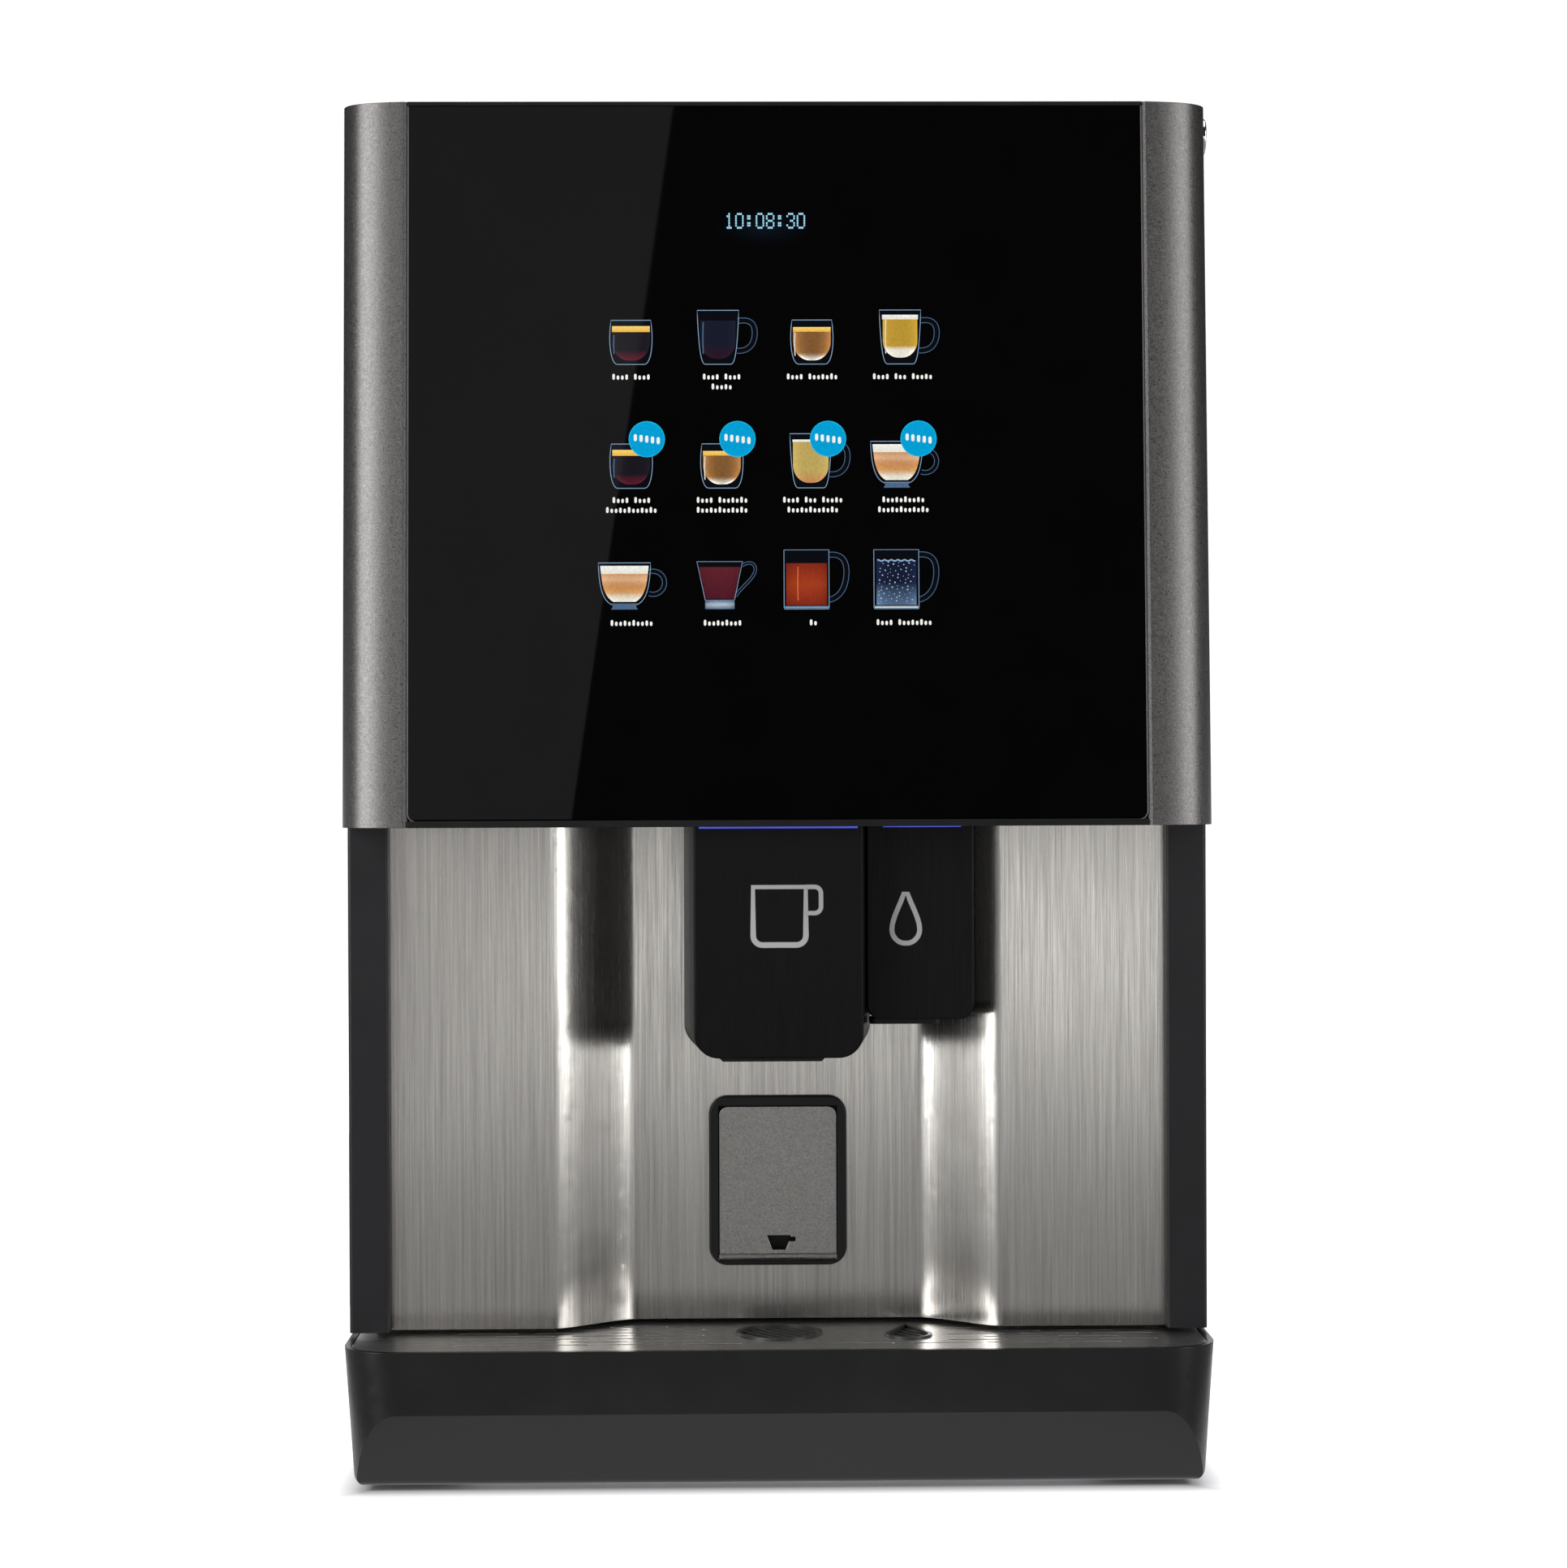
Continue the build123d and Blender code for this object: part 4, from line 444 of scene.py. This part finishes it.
RIM_LIGHT = screen_colour(140, 170, 200)
RIM_DIM = screen_colour(80, 105, 135)
WALL = screen_colour(6, 9, 15)
WHITE = screen_colour(245, 246, 240)
CREMA = screen_colour(236, 182, 62)
MILK = screen_colour(232, 228, 214)
DARK = screen_colour(24, 20, 28)
WINE = screen_colour(92, 24, 42)
BROWN = screen_colour(128, 88, 48)
GOLD = screen_colour(186, 148, 52)
SAND = screen_colour(188, 164, 92)
CARAMEL = screen_colour(196, 136, 88)
AMBER = screen_colour(206, 148, 84)
LATTE = screen_colour(222, 178, 138)
NIGHT = screen_colour(22, 26, 42)
PLUM = screen_colour(44, 20, 34)
COCOA = screen_colour(78, 24, 38)
TEA = screen_colour(176, 66, 30)
RUST = screen_colour(132, 40, 24)
POOL = screen_colour(18, 26, 50)
STEEL = screen_colour(180, 195, 210)
CREMA_TOP = screen_colour(252, 214, 120)

rim_width = 0.3
tumbler_side = bezier((6.4, 0), (9.6, 0.2), (10.9, 10.5), (9.4, 21.0))
mug_side = bezier((6.2, 0), (8.6, 0.4), (9.3, 12), (9.85, 25.7))
bowl_side = bezier((6.3, 2.4), (11.4, 5.0), (12.0, 14.0), (12.35, 22.0))
tall_side = [(10.4, 0), (10.6, 0.5), (10.6, 27.9)]


def cup_glass(d, side, handle=None, grip=2.4):
    """The cup's wall and outline, and its handle as a path that runs out of the right side."""
    if handle:
        d.ribbon(handle, grip, WALL)
        d.raise_layer()
        for gap in (-grip / 2, grip / 2):
            d.ribbon(beside(handle, gap), rim_width, RIM_DIM)
    d.patch(both_sides(side), WALL)
    d.raise_layer()
    d.ribbon(both_sides(side), rim_width, RIM_LIGHT, closed=True)


def rounded_bottom(half, low, high):
    """The right side of a drink that has a round bottom."""
    middle = min(low + half, low + 0.8 * (high - low))
    turn = low + 0.45 * (middle - low)
    return bezier((half * 0.1, low), (half * 0.6, low), (half, turn), (half, middle)) + [(half, high)]


def band(half, low, high, stops, d, edge=1.0):
    """A level band of the drink."""
    d.raise_layer()
    d.shaded([(half, low), (half, (low + high) / 2), (half, high)], stops, edge)


def shine(d, x, low, high, colour=RIM_DIM):
    """A thin upright highlight."""
    d.raise_layer()
    d.ribbon([(x, low), (x - 0.2, (low + high) / 2), (x, high)], 0.5, colour)


def espresso(d):
    cup_glass(d, tumbler_side)
    d.raise_layer()
    d.shaded(rounded_bottom(8.9, 1.8, 15.6), [(0, WINE), (0.35, DARK), (1, DARK)], 1.6)
    band(8.9, 15.4, 18.2, [(0, CREMA), (1, CREMA_TOP)], d)
    shine(d, -8.0, 5.0, 14.0)


def cortado(d):
    cup_glass(d, tumbler_side)
    d.raise_layer()
    d.shaded(rounded_bottom(8.9, 1.8, 15.6), [(0, MILK), (0.22, BROWN), (1, BROWN)], 2.6)
    band(8.9, 15.4, 17.6, [(0, CREMA), (1, CREMA_TOP)], d)
    shine(d, -8.0, 4.0, 15.0, MILK)


def mug_handle():
    """The mug's handle, out of its right side."""
    top = bezier((9.4, 20.6), (14.5, 21.6), (17.6, 20.0), (17.4, 14.5), 8)
    return top + bezier((17.4, 14.5), (17.2, 8.6), (13.5, 6.0), (9.0, 6.4), 8)[1:]


def long_coffee(d):
    cup_glass(d, mug_side, mug_handle())
    d.raise_layer()
    d.shaded(rounded_bottom(8.3, 2.6, 20.8), [(0, PLUM), (0.4, NIGHT), (1, NIGHT)], 1.3)
    shine(d, -7.0, 5.0, 20.0)


def latte(d):
    cup_glass(d, mug_side, mug_handle())
    d.raise_layer()
    d.shaded(rounded_bottom(8.2, 3.0, 21.4), [(0, MILK), (0.2, MILK), (0.3, GOLD), (1, GOLD)], 1.35)
    band(8.5, 21.2, 23.4, [(0, MILK), (1, WHITE)], d)
    shine(d, -6.8, 5.0, 21.0, MILK)


def pale_latte(d):
    cup_glass(d, mug_side, mug_handle())
    d.raise_layer()
    d.shaded(rounded_bottom(8.4, 2.4, 22.0), [(0, CARAMEL), (0.3, SAND), (1, SAND)], 1.3)
    band(8.6, 21.8, 22.9, [(0, MILK), (1, WHITE)], d)


def cappuccino(d):
    cup_glass(d, bowl_side, arc((13.4, 12.6), 5.5, 130, -110, 16), 2.0)
    d.patch(both_sides([(6.3, 0), (5.4, 1.4), (6.2, 2.8)]), RIM_DIM)
    d.raise_layer()
    drink = bezier((5.2, 3.6), (9.6, 6.0), (10.6, 12.0), (11.0, 17.2))
    layers = [(0, MILK), (0.1, MILK), (0.34, AMBER), (0.6, CARAMEL), (0.8, LATTE), (1, CARAMEL)]
    d.shaded(drink, layers, 1.2)
    d.raise_layer()
    foam = bezier((11.0, 16.8), (11.2, 18.0), (11.3, 19.6), (11.4, 20.6), 4)
    d.shaded(foam, [(0, MILK), (1, WHITE)])


def chocolate(d):
    side = [(6.9, 4.3), (10.75, 22.5)]
    loop = bezier((10.4, 20.6), (14.8, 23.4), (17.6, 21.0), (16.6, 17.6), 8)
    cup_glass(d, side, loop + bezier((16.6, 17.6), (15.2, 13.6), (10.6, 11.0), (7.4, 6.2), 8)[1:], 1.2)
    d.raise_layer()
    d.shaded([(6.9, 5.0), (8.4, 12.5), (9.9, 19.9)], [(0, COCOA), (1, screen_colour(96, 34, 44))], 0.8)
    d.raise_layer()
    base = [(6.9, 0), (6.9, 2.2), (6.9, 4.3)]
    d.shaded(base, [(0, RIM_DIM), (0.5, STEEL), (1, RIM_DIM)], 0.55)


def tall_handle():
    """The tall straight mug's handle."""
    top = bezier((10.4, 25.6), (16.2, 26.2), (19.0, 23.6), (18.9, 17.0), 8)
    return top + bezier((18.9, 17.0), (18.6, 9.8), (15.6, 5.2), (10.4, 4.2), 8)[1:]


def tea(d):
    cup_glass(d, tall_side, tall_handle())
    band(9.6, 1.8, 21.6, [(0, RUST), (0.3, TEA), (1, RUST)], d, 0.75)
    band(10.2, 0.4, 1.4, [(0, RIM_LIGHT), (1, RIM_DIM)], d)
    shine(d, -4.0, 4.0, 20.0, screen_colour(214, 108, 62))


def water(d):
    cup_glass(d, tall_side, tall_handle())
    band(9.4, 1.8, 22.8, [(0, RIM_DIM), (0.15, POOL), (1, POOL)], d, 1.8)
    d.raise_layer()
    d.ribbon([(x / 2, 22.8 + 0.3 * math.sin(x)) for x in range(-18, 19)], 0.7, RIM_LIGHT)
    for i in range(70):
        x = 17.2 * ((i * 0.7549) % 1.0) - 8.6
        z = 2.6 + 19.6 * ((i * 0.5698) % 1.0)
        d.patch(arc((x, z), 0.16 + 0.22 * ((i * 0.37) % 1.0), 0, 315, 7), STEEL)
    band(10.2, 0.4, 1.4, [(0, WHITE), (1, RIM_DIM)], d)


def stadium(centre, width, height, steps=4):
    """An upright bar with round ends."""
    r = width / 2
    rise = height / 2 - r
    top = arc((centre[0], centre[1] + rise), r, 0, 180, steps)
    return top + arc((centre[0], centre[1] - rise), r, 180, 360, steps)


DISC = screen_colour(0, 160, 214)
DISC_EDGE = screen_colour(24, 178, 228)
disc_radius = 8.6
disc_offset = (7.4, 23.2)


def blank_disc(d):
    """A round marker with five plain bars, on a slight slant, in place of a word."""
    d.patch(arc((0, 0), disc_radius, 0, 345, 23), DISC_EDGE)
    d.raise_layer()
    d.patch(arc((0, 0), disc_radius - 0.5, 0, 345, 23), DISC)
    d.raise_layer()
    for i in range(5):
        x = 2.7 * (i - 2)
        d.patch(stadium((x, -0.14 * x), 1.5, 3.4), WHITE)


letter_pitch = 2.05
letter_width = 1.2
letter_heights = (2.9, 2.1, 2.1, 2.6, 2.1)


def label_line(d, z, words):
    """A greeked line: upright bars in groups, in place of words."""
    count = sum(words) + len(words) - 1
    x = -letter_pitch * (count - 1) / 2
    for word in words:
        for i in range(word):
            height = letter_heights[i % len(letter_heights)]
            d.patch(stadium((x, z + height / 2), letter_width, height, 3), WHITE)
            x += letter_pitch
        x += letter_pitch


# each picture's way of drawing, its shift, and its label's lines as word lengths
columns = (-68.7, -25.9, 16.9, 59.7)
cup_rows = (531.7, 472.9, 415.6)
label_rows = (524.4, 465.9, 407.8)
line_drop = 4.7
menu = (
    ((espresso, 0.0, ((4, 4),)), (long_coffee, -1.6, ((4, 4), (5,))),
     (cortado, 0.0, ((4, 7),)), (latte, -1.0, ((4, 3, 5),))),
    ((espresso, 0.0, ((4, 4), (12,))), (cortado, 0.0, ((4, 7), (12,))),
     (pale_latte, -0.8, ((4, 3, 5), (12,))), (cappuccino, -3.0, ((10,), (12,)))),
    ((cappuccino, -3.3, ((10,),)), (chocolate, -1.2, ((9,),)),
     (tea, -3.1, ((2,),)), (water, -3.5, ((4, 8),))),
)
for row, drinks in enumerate(menu):
    for column, (draw, shift, lines) in enumerate(drinks):
        x = columns[column]
        picture = Drawing(on_glass, (x + shift, cup_rows[row]))
        draw(picture)
        picture.finish(f"drink_picture_{row}_{column}", "door", "black_glass", ink)
        label = Drawing(on_glass, (x, 0))
        for i, words in enumerate(lines):
            label_line(label, label_rows[row] - line_drop * i, words)
        label.finish(f"drink_label_{row}_{column}", "door", "black_glass", ink)
        if row == 1:
            disc = Drawing(on_glass, (x + disc_offset[0], cup_rows[row] + disc_offset[1]))
            disc.lift += Drawing.over_the_rest
            blank_disc(disc)
            disc.finish(f"drink_disc_{column}", "door", "black_glass", ink)

# the clock, in dots
digit_dots = {
    "0": "01110 10001 10001 10001 10001 10001 01110",
    "1": "00100 01100 00100 00100 00100 00100 01110",
    "3": "01110 10001 00001 00110 00001 10001 01110",
    "8": "01110 10001 10001 01110 10001 10001 01110",
    ":": "00000 01100 01100 00000 01100 01100 00000",
}
clock_time = "10:08:30"
clock_centre = (-5.0, 600.0)
dot_pitch = (0.81, 1.1)
dot_half = (0.35, 0.45)
CYAN = screen_colour(165, 222, 245)
glow = Drawing(on_glass, (clock_centre[0], clock_centre[1] - 3))
GLOW = screen_colour(8, 20, 28)
glow_rings = 8
for i in range(glow_rings):
    share = 1 - i / glow_rings
    ring = arc((0, 0), share, 0, 345, 23)
    glow.patch([(27 * x, 10 * z) for x, z in ring], [g * (1 - share) ** 1.5 for g in GLOW])
    glow.raise_layer()
glow.finish("clock_glow", "door", "black_glass", ink)
clock = Drawing(on_glass, clock_centre)
clock.lift += Drawing.over_the_rest
for place, digit in enumerate(clock_time):
    for line, dots in enumerate(digit_dots[digit].split()):
        for across, dot in enumerate(dots):
            if dot == "1":
                x = dot_pitch[0] * (6 * place + across - (6 * len(clock_time) - 2) / 2)
                z = dot_pitch[1] * (3 - line)
                clock.patch([(x + across_by * dot_half[0], z + up_by * dot_half[1])
                             for across_by, up_by in ((-1, -1), (1, -1), (1, 1), (-1, 1))], CYAN)
clock.finish("clock_digits", "door", "black_glass", ink)


# ---------------------------------------------------------------- signs on the spout covers

sign_silver = moulded("sign_silver", (0.42, 0.42, 0.42), 0.35, 1800, 0.00001)
sign_width = 2.7
SILVER = (0.4, 0.4, 0.4)
mug_body = (
    [(12.9, 284.5), (-12.0, 284.5)] + arc((-7.6, 261.5), 4.4, 180, 270, 6)
    + arc((8.5, 261.5), 4.4, 270, 360, 6)
)
mug_loop = (
    [(12.9, 284.5)] + arc((17.1, 281.5), 3.0, 90, 0, 6)
    + arc((17.1, 275.1), 3.0, 0, -90, 6) + [(12.9, 272.1)]
)
cup_sign = Drawing(on_front("coffee_spout_cover"))
cup_sign.ribbon(mug_body, sign_width, SILVER, closed=True)
cup_sign.raise_layer()
cup_sign.ribbon(mug_loop, sign_width * 0.8, SILVER)
cup_sign.finish("cup_sign", "door", "chrome", sign_silver)

drop_radius = 6.65
drop_side = (
    arc((0, 8), drop_radius, -90, 0, 8)
    + bezier((drop_radius, 8), (6.65, 14), (1.6, 21), (0.25, 27.6), 8)[1:]
)
drop_sign = Drawing(on_front("water_spout_cover"), (61.0, 255.3))
drop_sign.ribbon(both_sides(drop_side[1:-1]), 2.4, SILVER, closed=True)
drop_sign.finish("drop_sign", "door", "chrome", sign_silver)


# ---------------------------------------------------------------- trims, seal, lights and screws

def skin(bm, rings):
    """A closed skin over rings of corners, with flat ends."""
    for first, second in zip(rings, rings[1:]):
        for k in range(len(first)):
            n = (k + 1) % len(first)
            bm.faces.new((first[k], first[n], second[n], second[k]))
    bm.faces.new(rings[0])
    bm.faces.new(rings[-1])


def tube(bm, path, radius, across, sides=10):
    """A round bar along a path that lies in the plane at right angles to across."""
    across = Vector(across).normalized()
    turns = [2 * math.pi * k / sides for k in range(sides)]
    rings = []
    for i, point in enumerate(path):
        along = Vector(path[min(i + 1, len(path) - 1)]) - Vector(path[max(i - 1, 0)])
        out = along.normalized().cross(across)
        rings.append([bm.verts.new(Vector(point) + radius * (out * math.cos(a) + across * math.sin(a)))
                      for a in turns])
    skin(bm, rings)


def lathe(bm, profile, centre, axis, segments=20):
    """A turned shape from (radius, height) points, in millimetres, about an axis."""
    turn = Vector(axis).to_track_quat("Z", "Y").to_matrix()
    rings = []
    for radius, height in profile:
        ring = []
        for k in range(segments):
            a = 2 * math.pi * k / segments
            spot = Vector((radius * math.cos(a), radius * math.sin(a), height)) * MM
            ring.append(bm.verts.new(Vector(centre) * MM + turn @ spot))
        rings.append(ring)
    skin(bm, rings)


glass_low, glass_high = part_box("glass_panel")
glass_half = glass_high[0] / MM
bead_low = glass_low[2] / MM - 0.4
bead_high = glass_high[2] / MM
bead_corner = 4.0
bead_outline = (
    [(-glass_half, bead_high)]
    + arc((bead_corner - glass_half, bead_low + bead_corner), bead_corner, 180, 270, 6)
    + arc((glass_half - bead_corner, bead_low + bead_corner), bead_corner, 270, 360, 6)
    + [(glass_half, bead_high)]
)
bead_finish = moulded("bead_grey", (0.10, 0.10, 0.10), 0.3, 1500, 0.00001)
bm = bmesh.new()
tube(bm, [on_glass(x, z, 0.1) for x, z in bead_outline], 0.36 * MM, glass_normal, 8)
add_piece(bm, "glass_bead", "door", bead_finish, smooth=True)

blue_light = lit("strip_blue", (0.10, 0.14, 1.0), 0.6)
housing_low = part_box("door_frame")[0][2] / MM
strip_margin = 8
strip_radius = 0.9
for name, node in (("light_strip_coffee", "coffee_spout_cover"),
                   ("light_strip_water", "water_spout_cover")):
    low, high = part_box(node)
    front = low[1] / MM - 2.2
    start, end = low[0] / MM + strip_margin, high[0] / MM - strip_margin
    spots = [Vector((start + (end - start) * i / 12, front, housing_low - 0.1)) * MM
             for i in range(13)]
    bm = bmesh.new()
    tube(bm, spots, strip_radius * MM, UP, 10)
    add_piece(bm, name, "door", blue_light, smooth=True)

# the door's seal: its left side and top in one run, and its right side below the lock
frame_low, frame_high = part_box("front_frame")
seal_y = frame_low[1] - 2.6 * MM
seal_half = frame_high[0] - 11.5 * MM
seal_low = frame_low[2] + 3.5 * MM
seal_high = frame_high[2] - 7 * MM
seal_radius = 2.7 * MM
seal_corner = 8.0 * MM
lock_reach = 36 * MM
left_and_top = (
    [(-seal_half, seal_low)]
    + arc((seal_corner - seal_half, seal_high - seal_corner), seal_corner, 180, 90, 6)
    + [(seal_half - 16 * MM, seal_high)]
)
right = [(seal_half, seal_low), (seal_half, (seal_low + seal_high) / 2),
         (seal_half, seal_high - lock_reach)]
bm = bmesh.new()
for run in (left_and_top, right):
    tube(bm, [(x, seal_y, z) for x, z in run], seal_radius, (0, 1, 0), 12)
add_piece(bm, "door_seal", "cabinet", finishes["rubber"], smooth=True)

screw_profile = ((0.01, 0.25), (1.15, 0.25), (1.15, 1.15), (1.7, 1.15),
                 (2.4, 0.9), (2.8, 0.4), (2.9, 0.0))
screw_finish = brushed("screw_steel", (0.55, 0.55, 0.55), 0.3, ACROSS, anisotropic=0.2)


def screws(name, spots, axis):
    """Button-head screws at spots in millimetres."""
    bm = bmesh.new()
    for spot in spots:
        lathe(bm, screw_profile, spot, axis)
    add_piece(bm, name, "cabinet", screw_finish)


for name, node, side in (("screws_left", "side_panel_left", -1),
                         ("screws_right", "side_panel_right", 1)):
    low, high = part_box(node)
    face_x = (high[0] if side > 0 else low[0]) / MM
    rear = high[1] / MM - 12
    spots = [(face_x, rear, z) for z in (40, 240, 440, 630)] + [(face_x, y, 28) for y in (-150, 60)]
    screws(name, spots, (side, 0, 0))
back_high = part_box("back_panel")[1]
back_y = back_high[1] / MM
edge_x = back_high[0] / MM - 8
spots = [(side * edge_x, back_y, z) for side in (-1, 1) for z in (30, 180, 330, 480, 640)]
spots += [(x, back_y, z) for x in (-70, 70) for z in (24, 644)]
screws("screws_back", spots, (0, 1, 0))
top_face = cad_box[1][2] / MM - 5
spots = [(x, y, top_face) for x in (-198, 198) for y in (-120, 60, 240)]
spots += [(x, 262, top_face) for x in (-70, 70)]
screws("screws_top", spots, UP)


# ---------------------------------------------------------------- the stage

def softbox(name, place, target, size, radiance):
    """A rectangular lamp of an even radiance, which the camera doesn't see."""
    lamp = bpy.data.lights.new(name, "AREA")
    lamp.shape = "RECTANGLE"
    lamp.size, lamp.size_y = size
    lamp.energy = radiance * math.pi * size[0] * size[1]
    thing = bpy.data.objects.new(name, lamp)
    scene.collection.objects.link(thing)
    thing.location = place
    direction = Vector(target) - Vector(place)
    thing.rotation_euler = direction.to_track_quat("-Z", "Y").to_euler()
    thing.visible_camera = False


def round_bearing(angle, distance, height):
    """A place at an angle from straight in front, towards +X, about the machine's front."""
    a = math.radians(angle)
    return (distance * math.sin(a), -0.22 - distance * math.cos(a), height)


def disc(name, height, finish):
    """A wide round floor."""
    bm = bmesh.new()
    bmesh.ops.create_circle(bm, cap_ends=True, segments=96, radius=14.0)
    thing = mesh_object(bm, name, finish)
    thing.location.z = height
    return thing


def maths(finish, operation, first, second=None):
    """A sum on one or two patterns, or on a pattern and a number."""
    node = finish.add("ShaderNodeMath", operation=operation)
    finish.join(first, node.inputs[0])
    if isinstance(second, (int, float)):
        node.inputs[1].default_value = second
    elif second is not None:
        finish.join(second, node.inputs[1])
    return node.outputs[0]


# the paper that the camera sees, white up to a thin shadow round the machine's foot: partly cast by the
# lamps, partly painted shadow where the paper's glow dims
foot_half = 0.199
foot_front, foot_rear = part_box("drip_tray")[0][1] + 16 * MM, cad_box[1][1]
paper = Finish("floor_paper", (0.5, 0.5, 0.515), 0.9)
paper.vary_rough(paper.noise(5), 0.85, 0.95)
spread = paper.add("ShaderNodeSeparateXYZ")
paper.join(paper.place, spread.inputs[0])
aside = maths(paper, "SUBTRACT", maths(paper, "ABSOLUTE", spread.outputs["X"]), foot_half)
middle = (foot_front + foot_rear) / 2
depth = maths(paper, "ABSOLUTE", maths(paper, "SUBTRACT", spread.outputs["Y"], middle))
ahead = maths(paper, "SUBTRACT", depth, (foot_rear - foot_front) / 2)
painted_shadow_reach = maths(paper, "MAXIMUM", aside, ahead)
paper.shader.inputs["Emission Color"].default_value = (0.99, 0.985, 1.0, 1)
# painted shadow: the paper's glow falls from full 16 mm outside the foot to almost none 6 mm inside it
paper.join(paper.ranged(painted_shadow_reach, 0.02, 1.0, (-0.006, 0.016)), paper.shader.inputs["Emission Strength"])
floor = disc("floor", 0.0, paper)
floor.visible_glossy = False
floor.visible_diffuse = False

# the light that the floor throws back, which the camera doesn't see: bright by the foot and far off
bounce = Finish("floor_bounce", (0.2, 0.2, 0.2), 1.0)
reach = bounce.add("ShaderNodeVectorMath", operation="LENGTH")
bounce.join(bounce.place, reach.inputs[0])
bounce.shader.inputs["Emission Color"].default_value = (1, 1, 1, 1)
fade = bounce.ranged(reach.outputs["Value"], 0.8, 0.25, (0.34, 0.44))
rise = bounce.ranged(reach.outputs["Value"], 0.0, 1.5, (1.2, 5.0))
bounce.join(maths(bounce, "ADD", fade, rise), bounce.shader.inputs["Emission Strength"])
bounce_floor = disc("floor_bounce", -1 * MM, bounce)
bounce_floor.visible_camera = False
bounce_floor.visible_shadow = False

# a grey board in front and to the left, whose slanted edge the glass mirrors
board_y = -2.2
board_edge = ((-0.118, 1.036), (-0.225, 0.275))
board_left, board_low, board_high = -1.6, 0.02, 2.2
slope = (board_edge[0][0] - board_edge[1][0]) / (board_edge[0][1] - board_edge[1][1])
corners = [
    (board_left, board_high), (board_left, board_low),
    (board_edge[1][0] - slope * (board_edge[1][1] - board_low), board_low),
    (board_edge[0][0] + slope * (board_high - board_edge[0][1]), board_high),
]
grey = Finish("board_grey", (0.0, 0.0, 0.0), 1.0)
grey.shader.inputs["Specular IOR Level"].default_value = 0.0
grey.shader.inputs["Emission Color"].default_value = (1, 0.985, 0.97, 1)
grey.join(grey.ranged(grey.noise(2), 0.26, 0.28), grey.shader.inputs["Emission Strength"])
bm = bmesh.new()
bm.faces.new([bm.verts.new((x, board_y, z)) for x, z in corners])
board = mesh_object(bm, "grey_board", grey)
board.visible_camera = False
board.visible_shadow = False
board.visible_diffuse = False

# white behind the machine for the camera, and dark for everything else
world = bpy.data.worlds.new("studio")
scene.world = world
world.use_nodes = True
sky = world.node_tree.nodes["Background"]
sky.inputs["Color"].default_value = (1, 1, 1, 1)
path = world.node_tree.nodes.new("ShaderNodeLightPath")
bright = world.node_tree.nodes.new("ShaderNodeMapRange")
bright.inputs["To Min"].default_value = 0.02
bright.inputs["To Max"].default_value = 1.05
world.node_tree.links.new(path.outputs["Is Camera Ray"], bright.inputs["Value"])
world.node_tree.links.new(bright.outputs["Result"], sky.inputs["Strength"])

machine = (0, -0.2, 0.33)
softbox("overhead", (0, -0.3, 2.4), (0, -0.2, 0), (2.0, 1.8), 2.0)
softbox("left_side", round_bearing(-52, 1.9, 0.75), machine, (0.9, 1.6), 6.0)
softbox("right_side", round_bearing(54, 1.9, 0.75), machine, (0.8, 1.6), 4.2)
softbox("rear", (0, 2.4, 1.4), (0, 0, 0.3), (2.4, 1.6), 2.0)

camera_data = bpy.data.cameras.new("camera")
camera_data.sensor_width = 36.0
camera_data.lens = 36.0 * 4092.5 / 1932
camera = bpy.data.objects.new("camera", camera_data)
scene.collection.objects.link(camera)
camera.location = (-0.0219, -1.8297, 0.3454)
camera.rotation_euler = (math.radians(90 - 0.448), 0, math.radians(-0.895))
camera.rotation_euler.rotate_axis("Z", math.radians(-0.22))
scene.camera = camera
scene.view_settings.view_transform = "Standard"
